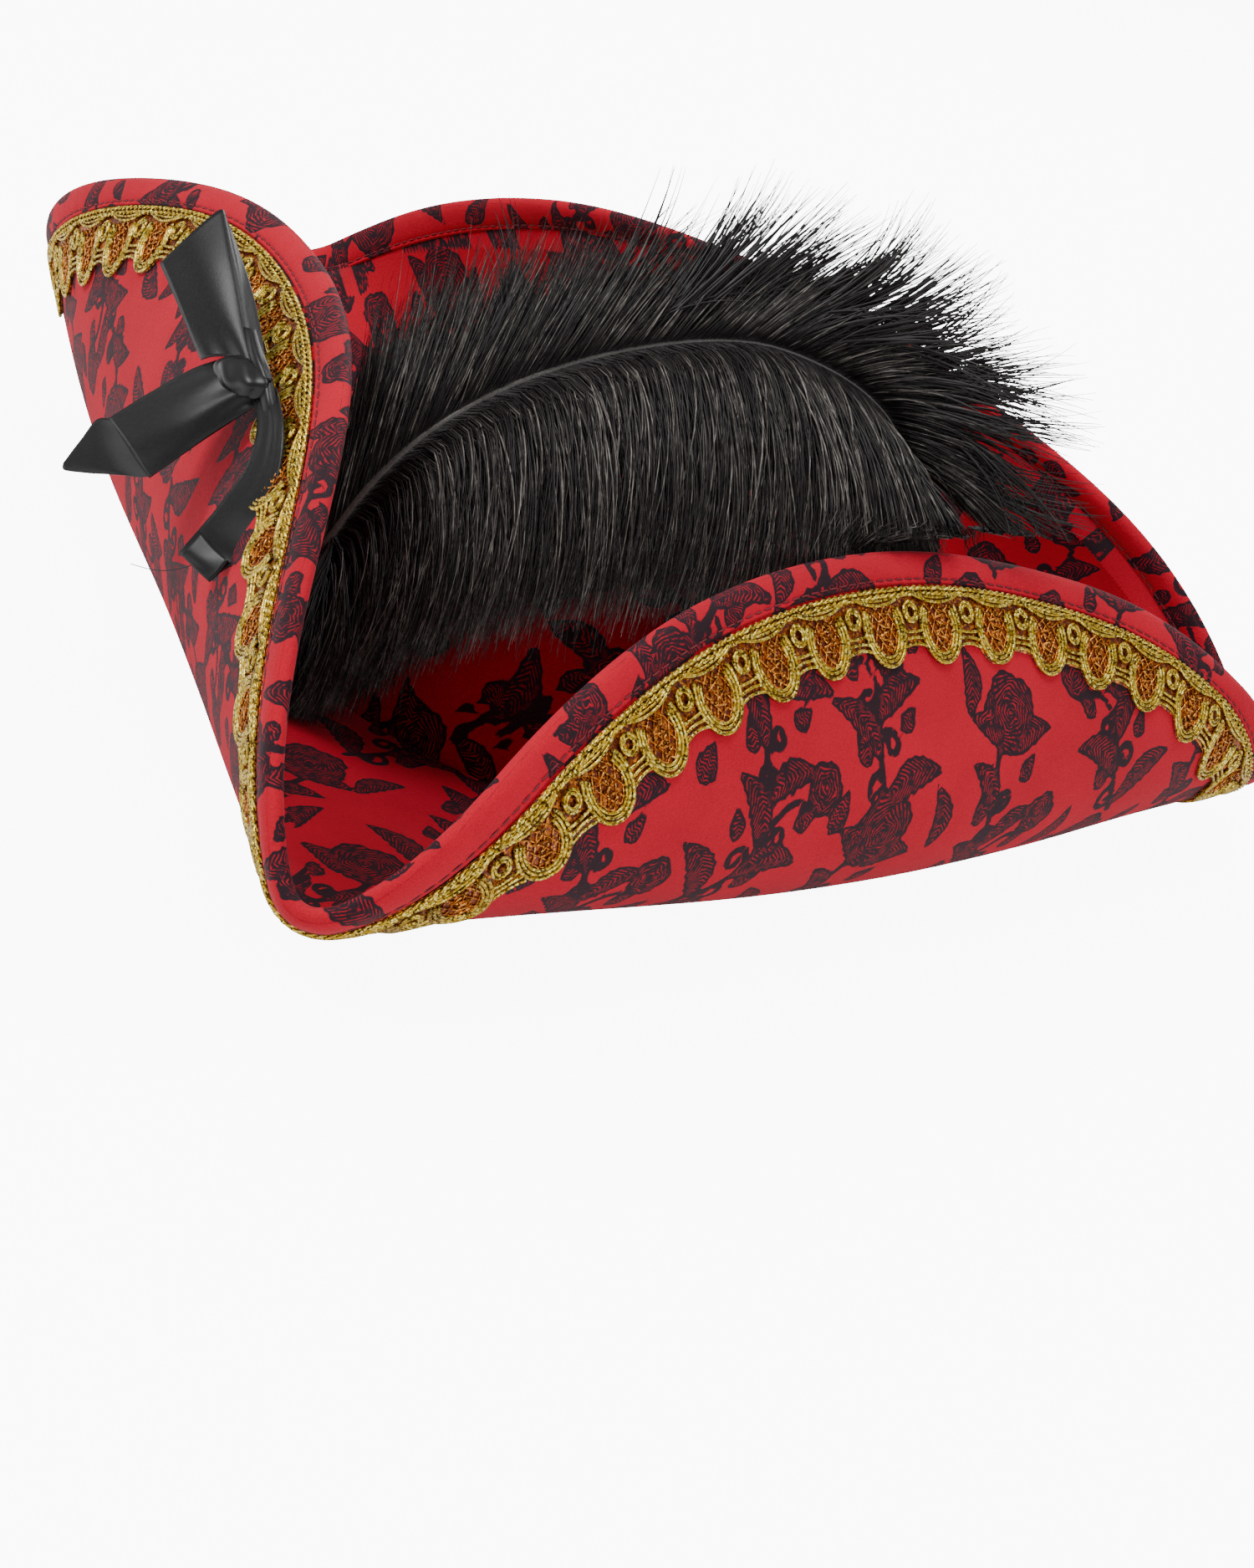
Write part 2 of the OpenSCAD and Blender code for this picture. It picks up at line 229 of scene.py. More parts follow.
def brim_middle(rho, angle):
    """Middle surface of the brim in mm. Height is a steady rise plus a lift at each corner
    that grows with distance^1.5. A panel moves a point that lies u past its fold to where an
    arc of the bend radius, then a wider arc of the inward roll, carries it. Last comes a
    slight waviness of hand-made cloth, a sum of sines that grows towards the edge."""
    start = oval(angle)
    out = np.clip((rho - start) / (BRIM_R - start), 0, 2)
    x, y = rho * np.cos(angle), rho * np.sin(angle)
    z = BRIM_Z + (rho - start) * SLOPE
    for where, lift in LIFTS:
        z = z + lift * out ** 1.5 * np.clip(np.cos(angle - math.radians(where)), 0, 1) ** 8
    shift = np.zeros(np.shape(x) + (3,))
    for where, fold, bend, lean, roll, bow in PANELS:
        away = (angle - math.radians(where) + np.pi) % (2 * np.pi) - np.pi
        along = rho * np.cos(bow * np.clip(away, -1.5, 1.5))
        reach = np.where(np.abs(away) < np.pi / 2 / bow, along, 0)
        u = np.clip(reach - fold, 0, None)
        full, rate = math.radians(90 - lean), math.radians(roll)
        a = np.clip(u / bend, 0, full)
        v = np.clip(u - bend * full, 0, None)
        w = full + rate * v
        n = bend * np.sin(a) + (np.sin(w) - math.sin(full)) / rate
        h = bend * (1 - np.cos(a)) + (math.cos(full) - np.cos(w)) / rate
        d = math.radians(where) + (1 - bow) * away
        shift += np.stack([(n - u) * np.cos(d), (n - u) * np.sin(d), h], -1)
    wave = 0.8 * out ** 2 * (np.sin(5 * angle + 1) + 0.7 * np.sin(9 * angle + 2.1 + rho / 40)
                             + 0.6 * np.sin(14 * angle + rho / 23))
    shift[..., 2] += 0.6 * wave
    return np.stack([x, y, z], -1) + shift


def brim_normal(rho, angle):
    """Unit normal on the upper, inner face, from differences to either side."""
    e = 0.6
    a = brim_middle(rho + e, angle) - brim_middle(rho - e, angle)
    b = brim_middle(rho, angle + e / 150) - brim_middle(rho, angle - e / 150)
    return unit(np.cross(a, b))


def brim_point(rho, angle, level):
    """Point at a level over (plus) or under (minus) the brim's middle surface."""
    rho, angle, level = np.broadcast_arrays(rho, angle, level)
    return brim_middle(rho, angle) + level[..., None] * brim_normal(rho, angle)


def flat_place(rho, angle):
    """Where a point lies on the flat cloth, in mm."""
    return np.stack(np.broadcast_arrays(rho * np.cos(angle), rho * np.sin(angle)), -1)


# %% Lines round the brim
# The lines lie closer together at the three corners, where the brim bends most.
TURNS = 880
step = np.arange(TURNS) * 2 * np.pi / TURNS
ANGLES = step - math.radians(5) * np.sin(3 * (step - math.radians(30)))
edge = brim_point(BRIM_R, ANGLES, 0)
print("edge height from", edge[:, 2].min().round(1), "to", edge[:, 2].max().round(1), "mm")

# %% [markdown]
# ## The printed pattern
# The suede is printed all over with sprays of flowers: a curved stem, toothed leaves filled
# with fine lines, a round rose and small curls. Each motif is a formula for the distance to
# its outline, negative inside. The smallest distance over all motifs gives the print's edge,
# kept with the cloth's points as an attribute, and a second value counts along the lines
# that fill the motif. The material then draws crisp outlines and hatching from the two.

# %% Motifs
def leaf(x, y, length, width, bend, teeth):
    """Distance to a leaf along +x: half its width is a sine of the way along, toothed on
    its outer side, about a middle line bent as a parabola."""
    s = x / length
    t = np.clip(s, 0.001, 0.999)
    across = y - bend * length * t * (1 - t) * 2
    half = width / 2 * np.sin(np.pi * t ** 0.85) ** 0.8
    half = half * (1 + 0.2 * np.abs(np.sin(np.pi * t * teeth)) * np.sign(across))
    outside = np.maximum(np.maximum(-x, x - length), 0)
    return np.hypot(np.maximum(np.abs(across) - half, 0), outside) + np.minimum(
        np.abs(across) - half, 0), x * 0.75 + np.abs(across) * 0.9


def rose(x, y, radius):
    """Distance to a round flower whose edge swells in five petals."""
    r, a = np.hypot(x, y), np.arctan2(y, x)
    edge_r = radius * (0.86 + 0.14 * np.abs(np.sin(2.5 * a)) + 0.03 * np.sin(15 * a))
    return r - edge_r, r + 1.3 * np.abs(np.sin(2.5 * a + r * 0.35))


def bud(x, y, length, width):
    """Distance to a pointed bud along +x, widest a third of the way up."""
    s = np.clip(x / length, 0.001, 0.999)
    half = width / 2 * np.sin(np.pi * s ** 0.6) * (1 + 0.12 * np.sin(9 * np.pi * s))
    outside = np.maximum(np.maximum(-x, x - length), 0)
    return np.hypot(np.maximum(np.abs(y) - half, 0), outside) + np.minimum(
        np.abs(y) - half, 0), x + 0.6 * np.sin(y * 2.4)


def line_motif(x, y, points, half):
    """Distance to a drawn line through points, less half its thickness."""
    p, q = points[:-1], points[1:]
    d = q - p
    rel = np.stack([x, y], -1)[..., None, :] - p
    t = np.clip((rel * d).sum(-1) / (d * d).sum(-1), 0, 1)
    near = np.linalg.norm(rel - t[..., None] * d, axis=-1).min(-1)
    return near - half, near * 0


def curl_points(radius, turns):
    """A hooked curl: a spiral that closes in from its root at the origin."""
    t = np.linspace(0, 1, 14)
    r = radius * (1 - 0.72 * t)
    a = -np.pi / 2 + turns * 2 * np.pi * t
    return np.stack([r * np.cos(a), radius + r * np.sin(a)], -1)


MOTIFS = {"leaf": leaf, "rose": rose, "bud": bud, "line": line_motif}
print("motifs:", ", ".join(MOTIFS))


# %% One spray
def spray_motifs():
    """One spray about 80 mm tall: (kind, x, y, turn in degrees, sizes). Leaves leave the
    curved stem on alternate sides, each with a curl across from it."""
    def on_stem(t):
        return 6.5 * np.sin(1.7 * np.pi * t), -40 + 66 * t

    t = np.linspace(0, 1, 16)
    side = np.stack([14 * t ** 1.4, 10 * t + 5 * np.sin(np.pi * t)], -1)
    parts = [("line", 0, 0, 0, (np.stack(on_stem(t), -1), 0.9)), ("rose", 0, 33, 0, (11.5,)),
             ("line", 6.0, -12, 0, (side, 0.8)), ("rose", 20.5, 5.5, 40, (6.8,)),
             ("leaf", -2, 23, 152, (18, 7.5, -0.28, 6)), ("leaf", 2, 22, 24, (18, 7.5, 0.28, 6))]
    for k, t in enumerate((0.04, 0.2, 0.36, 0.52, 0.70)):
        x, y = on_stem(t)
        right = k % 2
        turn, bend = (28 + 4 * k, 0.34) if right else (152 - 4 * k, -0.34)
        parts.append(("leaf", x, y, turn, (25 - 1.5 * k, 9 - 0.4 * k, bend, 7)))
        parts.append(("line", x, y + 3, 65 if right else -70, (curl_points(4.8 - 0.3 * k, 1.15), 0.85)))
        parts.append(("bud", x + (-9 if right else 9), y + 9, 125 if right else 55, (9, 5.6)))
    return parts


print("a spray has", len(spray_motifs()), "motifs")


# %% The print on a cloth
SPRAY_X, SPRAY_Y = 50.0, 84.0
PRINT_REACH = 270
CLEAR_OF_PRINT = 4.0


def add_motif(place, found, fill, kind, x0, y0, turn, flip, size, sizes):
    """Lower the distances in `found` wherever this motif is nearer."""
    near = np.flatnonzero(np.hypot(place[:, 0] - x0, place[:, 1] - y0) < size)
    if len(near) == 0:
        return
    dx, dy = place[near, 0] - x0, place[near, 1] - y0
    c, s = math.cos(turn), math.sin(turn)
    distance, lines = MOTIFS[kind](c * dx + s * dy, flip * (-s * dx + c * dy), *sizes)
    won = distance < found[near]
    found[near[won]] = distance[won]
    fill[near[won]] = lines[won]


def print_fields(place, turn, seed):
    """Distance to the print's outline and the count along its fill lines, both in mm, for
    points of flat cloth. Sprays stand on a half-drop lattice and every other one is
    mirrored; loose leaves and buds fill the gaps between them."""
    rng = np.random.default_rng(seed)
    c, s = math.cos(turn), math.sin(turn)
    place = place.reshape(-1, 2) @ np.array([[c, -s], [s, c]])
    found, fill = np.full(len(place), CLEAR_OF_PRINT), np.zeros(len(place))
    wide, tall = int(PRINT_REACH / SPRAY_X), int(PRINT_REACH / SPRAY_Y)
    for i in range(-wide, wide + 1):
        for j in range(-tall - 1, tall + 1):
            cx = i * SPRAY_X + rng.normal(0, 1.5)
            cy = (j + 0.5 * (i % 2)) * SPRAY_Y + rng.normal(0, 2)
            lean, mirror = rng.normal(0, 0.12), 1 if (i + j) % 2 else -1
            if math.hypot(cx, cy) > PRINT_REACH + 40:
                continue
            cl, sl = math.cos(lean), math.sin(lean)
            for kind, x, y, degrees, sizes in spray_motifs():
                x0, y0 = mirror * x * cl - y * sl + cx, mirror * x * sl + y * cl + cy
                angle = math.radians(degrees)
                angle = (angle if mirror > 0 else np.pi - angle) + lean
                size = 62 if kind == "line" and len(sizes[0]) == 16 else 34
                add_motif(place, found, fill, kind, x0, y0, angle, mirror, size, sizes)
            for dx, dy in ((SPRAY_X / 2, 2), (SPRAY_X / 2 - 4, 38)):
                angle = rng.uniform(0.9, 2.3)
                kind = "leaf" if rng.random() < 0.6 else "bud"
                sizes = (19, 7.5, 0.28, 6) if kind == "leaf" else (12, 7.5)
                add_motif(place, found, fill, kind, cx + dx, cy + dy - 8, angle, 1, 30, sizes)
    return {"print_edge": found, "print_line": fill}


# %% [markdown]
# ## Cloth materials
# The suede look comes from a soft, rough, slightly fuzzy surface: high roughness, some
# sheen, a fine nap in the bump and a faint cloudiness where fingers have brushed it. The
# nap and the print are node groups, so that the same grain is used on every suede piece.

# %% Node helpers
def new_material(name):
    """A new material, its node tree and its Principled shader."""
    material = bpy.data.materials.new(name)
    material.use_nodes = True
    return material, material.node_tree, material.node_tree.nodes["Principled BSDF"]


def new_group(name, inputs, outputs):
    """A shader node group with float or colour sockets."""
    group = bpy.data.node_groups.new(name, "ShaderNodeTree")
    for key, value in inputs:
        kind = "NodeSocketColor" if isinstance(value, tuple) else "NodeSocketFloat"
        kind = "NodeSocketVector" if value is None else kind
        socket = group.interface.new_socket(key, in_out="INPUT", socket_type=kind)
        if value is not None:
            socket.default_value = (*value, 1) if isinstance(value, tuple) else value
    for key, kind in outputs:
        group.interface.new_socket(key, in_out="OUTPUT", socket_type=kind)
    return group, group.nodes.new("NodeGroupInput"), group.nodes.new("NodeGroupOutput")


def math_node(tree, how, a, b=None, c=None, clamp=False):
    """A Math node; each of a, b and c is a number or another node's output."""
    node = tree.nodes.new("ShaderNodeMath")
    node.operation = how
    node.use_clamp = clamp
    for i, v in enumerate((a, b, c)):
        if v is None:
            continue
        if isinstance(v, (int, float)):
            node.inputs[i].default_value = v
        else:
            tree.links.new(v, node.inputs[i])
    return node.outputs[0]


def mix_color(tree, amount, a, b, how="MIX"):
    """A colour Mix node; amount, a and b are values or outputs."""
    node = tree.nodes.new("ShaderNodeMix")
    node.data_type = "RGBA"
    node.blend_type = how
    for socket, v in ((node.inputs["Factor"], amount), (node.inputs[6], a), (node.inputs[7], b)):
        if isinstance(v, (int, float)):
            socket.default_value = v
        elif isinstance(v, tuple):
            socket.default_value = (*v, 1)
        else:
            tree.links.new(v, socket)
    return node.outputs[2]


def noise(tree, vector, scale, detail=2.0, roughness=0.5):
    """A Noise texture's value."""
    node = tree.nodes.new("ShaderNodeTexNoise")
    node.inputs["Scale"].default_value = scale
    node.inputs["Detail"].default_value = detail
    node.inputs["Roughness"].default_value = roughness
    tree.links.new(vector, node.inputs["Vector"])
    return node.outputs["Fac"]


def ramp(tree, value, low, high):
    """0 below low, 1 above high, smooth between."""
    node = tree.nodes.new("ShaderNodeMapRange")
    node.interpolation_type = "SMOOTHSTEP"
    node.inputs["From Min"].default_value = low
    node.inputs["From Max"].default_value = high
    tree.links.new(value, node.inputs["Value"])
    return node.outputs["Result"]


def attribute(tree, key):
    """A named value kept with the points of the mesh."""
    node = tree.nodes.new("ShaderNodeAttribute")
    node.attribute_name = key
    return node.outputs["Fac"]


def coordinate(tree, kind="Object"):
    """The place of a point on the piece, in metres, or with "UV" its place on the cloth."""
    return tree.nodes.new("ShaderNodeTexCoord").outputs[kind]


def add_bump(tree, height, strength, distance):
    """Bump the shader's normal by a height; distance is the full height in metres."""
    bump = tree.nodes.new("ShaderNodeBump")
    bump.inputs["Strength"].default_value = strength
    bump.inputs["Distance"].default_value = distance
    tree.links.new(height, bump.inputs["Height"])
    tree.links.new(bump.outputs["Normal"], tree.nodes["Principled BSDF"].inputs["Normal"])
    return bump


def use_group(tree, group, **values):
    """A group node with each input set to a number, a colour or another node's output."""
    node = tree.nodes.new("ShaderNodeGroup")
    node.node_tree = group
    for key, v in values.items():
        socket = node.inputs[key.replace("_", " ")]
        if isinstance(v, (int, float)):
            socket.default_value = v
        elif isinstance(v, tuple):
            socket.default_value = (*v, 1)
        else:
            tree.links.new(v, socket)
    return node


# %% [markdown]
# ## Floor and sky
# A wide pale floor and a pale sky make an even white ground. Both shine only towards the
# camera, so they stay white in the picture without flooding the hat with light, and from
# below the floor can be seen through. Neither is part of the hat.

# %% Floor and sky
WHITE_GLOW = 9.0
SKY_LIGHT = 0.42


def make_floor():
    """A square floor, 50 m wide. Its glow is the camera-ray value times WHITE_GLOW, and its
    alpha is 1 less the back-facing value."""
    data = bpy.data.meshes.new("floor")
    s = 25.0
    data.from_pydata([(-s, -s, 0), (s, -s, 0), (s, s, 0), (-s, s, 0)], [], [(0, 1, 2, 3)])
    floor = bpy.data.objects.new("floor", data)
    bpy.context.scene.collection.objects.link(floor)
    material, tree, shader = new_material("pale_floor")
    shader.inputs["Base Color"].default_value = (0.95, 0.95, 0.955, 1)
    shader.inputs["Roughness"].default_value = 0.8
    shader.inputs["Emission Color"].default_value = (1, 1, 1, 1)
    seen = tree.nodes.new("ShaderNodeLightPath").outputs["Is Camera Ray"]
    tree.links.new(math_node(tree, "MULTIPLY", seen, WHITE_GLOW), shader.inputs["Emission Strength"])
    behind = tree.nodes.new("ShaderNodeNewGeometry").outputs["Backfacing"]
    tree.links.new(math_node(tree, "SUBTRACT", 1.0, behind), shader.inputs["Alpha"])
    data.materials.append(material)


def make_sky():
    """A white sky: SKY_LIGHT on the hat, and WHITE_GLOW more where the camera sees it."""
    world = bpy.data.worlds.new("sky")
    world.use_nodes = True
    tree = world.node_tree
    sky = tree.nodes["Background"]
    sky.inputs["Color"].default_value = (1, 1, 1, 1)
    seen = tree.nodes.new("ShaderNodeLightPath").outputs["Is Camera Ray"]
    strength = math_node(tree, "MULTIPLY_ADD", seen, WHITE_GLOW, SKY_LIGHT)
    tree.links.new(strength, sky.inputs["Strength"])
    bpy.context.scene.world = world


make_floor()
make_sky()
print("the sky's own light is", SKY_LIGHT)

# %% [markdown]
# ## Suede
# The nap group gives the height of the fibres, a slow cloud and a speck. The print group
# turns the two values kept with the cloth into ink and bare ground.

# %% Suede groups
def make_nap_group():
    """Nap: short fibres as two sizes of noise, plus a slow cloud for brushed patches."""
    group, given, out = new_group(
        "nap", [("Place", None), ("Fibre", 1.0)],
        [("Height", "NodeSocketFloat"), ("Cloud", "NodeSocketFloat"), ("Speck", "NodeSocketFloat")])
    place = given.outputs["Place"]
    fine, coarse = noise(group, place, 2600, 2), noise(group, place, 900, 3, 0.6)
    height = math_node(group, "MULTIPLY", math_node(group, "ADD", fine, coarse), given.outputs["Fibre"])
    group.links.new(height, out.inputs["Height"])
    group.links.new(noise(group, place, 26, 3, 0.55), out.inputs["Cloud"])
    group.links.new(fine, out.inputs["Speck"])
    return group


def make_print_group():
    """Print: outline and hatched fill. The outline is solid where the distance lies just
    inside the edge; further in, the fill lines let the ground colour through in part."""
    group, given, out = new_group(
        "damask_print",
        [("Edge", 0.0), ("Line", 0.0), ("Place", None), ("Ground", (0.6, 0.01, 0.03)),
         ("Ink", (0.03, 0.01, 0.02)), ("Pitch", 1.1)],
        [("Color", "NodeSocketColor"), ("Mask", "NodeSocketFloat")])
    place = given.outputs["Place"]
    rough = math_node(group, "SUBTRACT", noise(group, place, 700, 3, 0.7), 0.5)
    edge_in = math_node(group, "MULTIPLY_ADD", rough, 0.5, given.outputs["Edge"])
    ink = ramp(group, math_node(group, "MULTIPLY", edge_in, -1), -0.34, -0.04)
    inner = ramp(group, math_node(group, "MULTIPLY", edge_in, -1), 0.6, 0.85)
    count = math_node(group, "DIVIDE", given.outputs["Line"], given.outputs["Pitch"])
    waves = math_node(group, "SINE", math_node(group, "MULTIPLY", math_node(
        group, "ADD", count, math_node(group, "MULTIPLY", rough, 0.5)), 2 * math.pi))
    gaps = ramp(group, waves, 0.15, 0.7)
    patchy = ramp(group, noise(group, place, 420, 2, 0.6), 0.35, 0.6)
    open_part = math_node(group, "MULTIPLY", math_node(group, "MULTIPLY", gaps, inner), patchy)
    cover = math_node(group, "MULTIPLY", ink, math_node(
        group, "SUBTRACT", 1.0, math_node(group, "MULTIPLY", open_part, 0.72)), clamp=True)
    color = mix_color(group, cover, given.outputs["Ground"], given.outputs["Ink"])
    group.links.new(color, out.inputs["Color"])
    group.links.new(cover, out.inputs["Mask"])
    return group


# %% Printed suede
RED = (0.56, 0.003, 0.022)
INK = (0.018, 0.004, 0.010)
NAP = make_nap_group()
PRINT = make_print_group()


def suede(name):
    """Printed suede: the print's colour, clouded and specked, on a rough fuzzy surface."""
    material, tree, shader = new_material(name)
    place = coordinate(tree)
    nap = use_group(tree, NAP, Place=place, Fibre=1.0)
    pattern = use_group(tree, PRINT, Edge=attribute(tree, "print_edge"),
                        Line=attribute(tree, "print_line"), Place=place,
                        Ground=RED, Ink=INK, Pitch=1.1)
    cloud = ramp(tree, nap.outputs["Cloud"], 0.3, 0.7)
    shade = mix_color(tree, cloud, (0.86, 0.82, 0.84), (1.0, 1.0, 1.0))
    speck = ramp(tree, nap.outputs["Speck"], 0.3, 0.7)
    speck = mix_color(tree, speck, (0.8, 0.78, 0.8), (1.0, 1.0, 1.0))
    color = mix_color(tree, 1.0, pattern.outputs["Color"], shade, "MULTIPLY")
    color = mix_color(tree, 1.0, color, speck, "MULTIPLY")
    tree.links.new(color, shader.inputs["Base Color"])
    height = math_node(tree, "MULTIPLY_ADD", pattern.outputs["Mask"], -0.4, nap.outputs["Height"])
    add_bump(tree, height, 0.35, 0.0004)
    tree.links.new(math_node(tree, "MULTIPLY_ADD", pattern.outputs["Mask"], -0.18, 0.92),
                   shader.inputs["Roughness"])
    shader.inputs["Specular IOR Level"].default_value = 0.25
    shader.inputs["Sheen Weight"].default_value = 0.1
    shader.inputs["Sheen Roughness"].default_value = 0.4
    shader.inputs["Sheen Tint"].default_value = (1.0, 0.55, 0.6, 1)
    return material


suede_out, suede_in = suede("suede_outer"), suede("suede_inner")
print("groups:", NAP.name, PRINT.name, "in", suede_out.name, suede_in.name)

# %% [markdown]
# ## Brim covers
# Two rings of suede are glued to the board, one on each face. Each is a thin shell with a
# fine grid on the side that shows, closed by a coarser one on the glued side.

# %% Brim covers
COVER_IN, COVER_OUT = 1.1, 1.9
ROWS = 96


def brim_cover(name, node, sign, material, turn, seed):
    """A shell between two levels: the visible face runs from the crown seam to the edge,
    the hidden face comes back in six wide rows."""
    way = np.concatenate([np.linspace(0, 1, ROWS), np.linspace(1, 0, 7)[1:]])
    level = np.concatenate([np.full(ROWS, COVER_OUT), np.full(6, COVER_IN)]) * sign
    start = oval(ANGLES)[:, None]
    rho = start + (BRIM_R - start) * way[None, :]
    angle = np.broadcast_to(ANGLES[:, None], rho.shape)
    points = brim_point(rho, angle, np.broadcast_to(level, rho.shape))
    place = flat_place(rho, angle)
    faces = grid_faces(TURNS, len(way), wrap_rows=True, wrap_cols=True)
    faces = faces if sign < 0 else faces[:, ::-1]
    piece = make_piece(name, points, faces, material, uv=place * MM * 4,
                       fields=print_fields(place, turn, seed))
    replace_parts(piece, node)


brim_cover("brim_outer_cloth", "brim_outer_cover", -1, suede_out, 0.2, 11)
brim_cover("brim_inner_cloth", "brim_inner_cover", 1, suede_in, 1.9, 23)

# %% [markdown]
# ## Board, edge wire and folded hem
# A stiff board lies between the two covers. A wire runs round its edge, and a strip of the
# same suede folds over both, stitched through with dark red thread. The strip is one
# closed outline of (distance in from the edge, level) swept round the brim.

# %% Board and hem
BOARD_EDGE = 6.5
STITCH_LINE = 7.3


def board_piece(material):
    """A shell 1.08 mm either side of the brim's middle, from the crown seam to the edge."""
    way = np.concatenate([np.linspace(0, 1, 30), np.linspace(1, 0, 30)])
    level = np.repeat([-1.08, 1.08], 30)
    start = oval(ANGLES[::2])[:, None]
    rho = start + (BRIM_R - BOARD_EDGE - start) * way[None, :]
    angle = np.broadcast_to(ANGLES[::2, None], rho.shape)
    points = brim_point(rho, angle, np.broadcast_to(level, rho.shape))
    faces = grid_faces(TURNS // 2, 60, wrap_rows=True, wrap_cols=True)
    piece = make_piece("brim_board", points, faces, material)
    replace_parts(piece, "brim_core")


def hem_outline():
    """The folded strip: face, rolled edge and face again, then back along its glued side.
    A dip of 0.3 mm marks the stitch line on both faces."""
    face = np.array([(8.7, 2.0), (8.5, 2.5), (8.0, 2.66), (7.6, 2.5), (7.3, 2.36), (7.0, 2.5),
                     (6.5, 2.75), (5.0, 2.95), (3.2, 2.95), (1.6, 2.7), (0.4, 2.2), (-0.4, 1.5),
                     (-0.85, 0.7)])
    shown = np.concatenate([face * [1, -1], [[-1.0, 0]], face[::-1]])
    glued = np.array([(8.6, 1.93), (4.0, 1.93), (0.15, 1.93)])
    return shown, np.concatenate([glued, glued[::-1] * [1, -1]])


def hem_piece(material):
    """The outline swept round the brim, puckered by a fast sine between the stitches."""
    shown, glued = hem_outline()
    outline = np.concatenate([shown, glued])
    steps = np.linalg.norm(np.diff(shown, axis=0), axis=1)
    run = BRIM_R - shown[0, 0] + np.concatenate([[0], np.cumsum(steps)])
    run = np.concatenate([run, np.linspace(run[-1], run[0], len(glued))])
    angle = np.broadcast_to(ANGLES[:, None], (TURNS, len(run)))
    pucker = np.sin(ANGLES * 190 + 3 * np.sin(ANGLES * 23))[:, None]
    depth = np.where(np.abs(outline[:, 0] - 5) < 2.5, 0.07, 0.02) * (np.arange(len(run)) < len(shown))
    rho = np.broadcast_to(BRIM_R - outline[:, 0], angle.shape)
    level = outline[:, 1] + pucker * depth * np.sign(outline[:, 1])
    points = brim_point(rho, angle, level)
    faces = grid_faces(TURNS, len(run), wrap_rows=True, wrap_cols=True)
    place = flat_place(np.broadcast_to(run, angle.shape), angle)
    piece = make_piece("hem_strip", points, faces, material, uv=place * MM * 4,
                       fields=print_fields(place, 0.6, 5))
    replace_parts(piece, "brim_edge_binding")


# %% Plain finishes
def plain(name, color, roughness, grain=900, depth=0.0002, contrast=0.25, metal=0.0):
    """One colour clouded and grained by noise: used for board, thread, wire and linings."""
    material, tree, shader = new_material(name)
    place = coordinate(tree)
    dark = tuple(c * (1 - contrast) for c in color)
    light = tuple(min(c * (1 + contrast), 1) for c in color)
    grain_value = noise(tree, place, grain, 3, 0.6)
    base = mix_color(tree, ramp(tree, grain_value, 0.3, 0.7), dark, light)
    cloud = ramp(tree, noise(tree, place, 35, 2), 0.3, 0.7)
    cloud = mix_color(tree, cloud, (0.88, 0.88, 0.88), (1.0, 1.0, 1.0))
    tree.links.new(mix_color(tree, 1.0, base, cloud, "MULTIPLY"), shader.inputs["Base Color"])
    shader.inputs["Roughness"].default_value = roughness
    shader.inputs["Metallic"].default_value = metal
    add_bump(tree, grain_value, 0.5, depth)
    return material


board_gray = plain("board_gray", (0.045, 0.045, 0.05), 0.9)
thread_red = plain("thread_red", (0.16, 0.006, 0.014), 0.6, 4000)
thread_black = plain("thread_black", (0.012, 0.012, 0.013), 0.6, 4000)
wire_steel = plain("wire_steel", (0.5, 0.5, 0.52), 0.35, 2000, 0.00005, 0.1, 1.0)
board_piece(board_gray)
hem_piece(suede("suede_hem"))


# %% Hem stitches
HEM_STITCHES = 362


def stitch_paths(level):
    """Stitches equally spaced along the stitch line: each covers 0.72 of its step and sinks
    0.28 mm into the cloth at both ends."""
    t = np.linspace(0, 1, 5)
    angle = (np.arange(HEM_STITCHES)[:, None] + 0.72 * t) * 2 * np.pi / HEM_STITCHES
    sink = np.broadcast_to(0.28 * (2 * t - 1) ** 4, angle.shape)
    return brim_point(BRIM_R - STITCH_LINE, angle, np.sign(level) * (abs(level) - sink))


def hem_stitches(material):
    """Threads 0.54 mm thick through both faces of the hem."""
    paths = np.concatenate([stitch_paths(-2.62), stitch_paths(2.62)])
    points, faces = capped_tubes(paths, np.full(paths.shape[:2], 0.27), 6)
    piece = make_piece("hem_stitches", points, faces, material)
    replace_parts(piece, "hem_stitching")


hem_stitches(thread_red)

# %% [markdown]
# ## Gold braid
# A band of looped cord, about 21 mm deep, is sewn to the outer face just inside the hem. Each
# repeat is 23.7 mm: a pair of twisted heading cords along the top, a shallow arc hung below
# them, a ring at each joint, and three nested loops whose ends make the scalloped edge. Thin
# crossed cords fill the loops over a net of glittering thread.

# %% Braid
BRAID_TOP = 9.0
REPEATS = 58
BRAID_RADIUS = 218.8
PITCH = 2 * math.pi * BRAID_RADIUS / REPEATS
DEEPEST = 21.2
print("braid:", REPEATS, "repeats of", round(PITCH, 2), "mm")


def braid_point(s, d, level):
    """s mm along the braid and d mm down from its top, at a level off the brim."""
    s, d, level = np.broadcast_arrays(s, d, level)
    return brim_point(BRIM_R - BRAID_TOP - d, s / BRAID_RADIUS, -level)


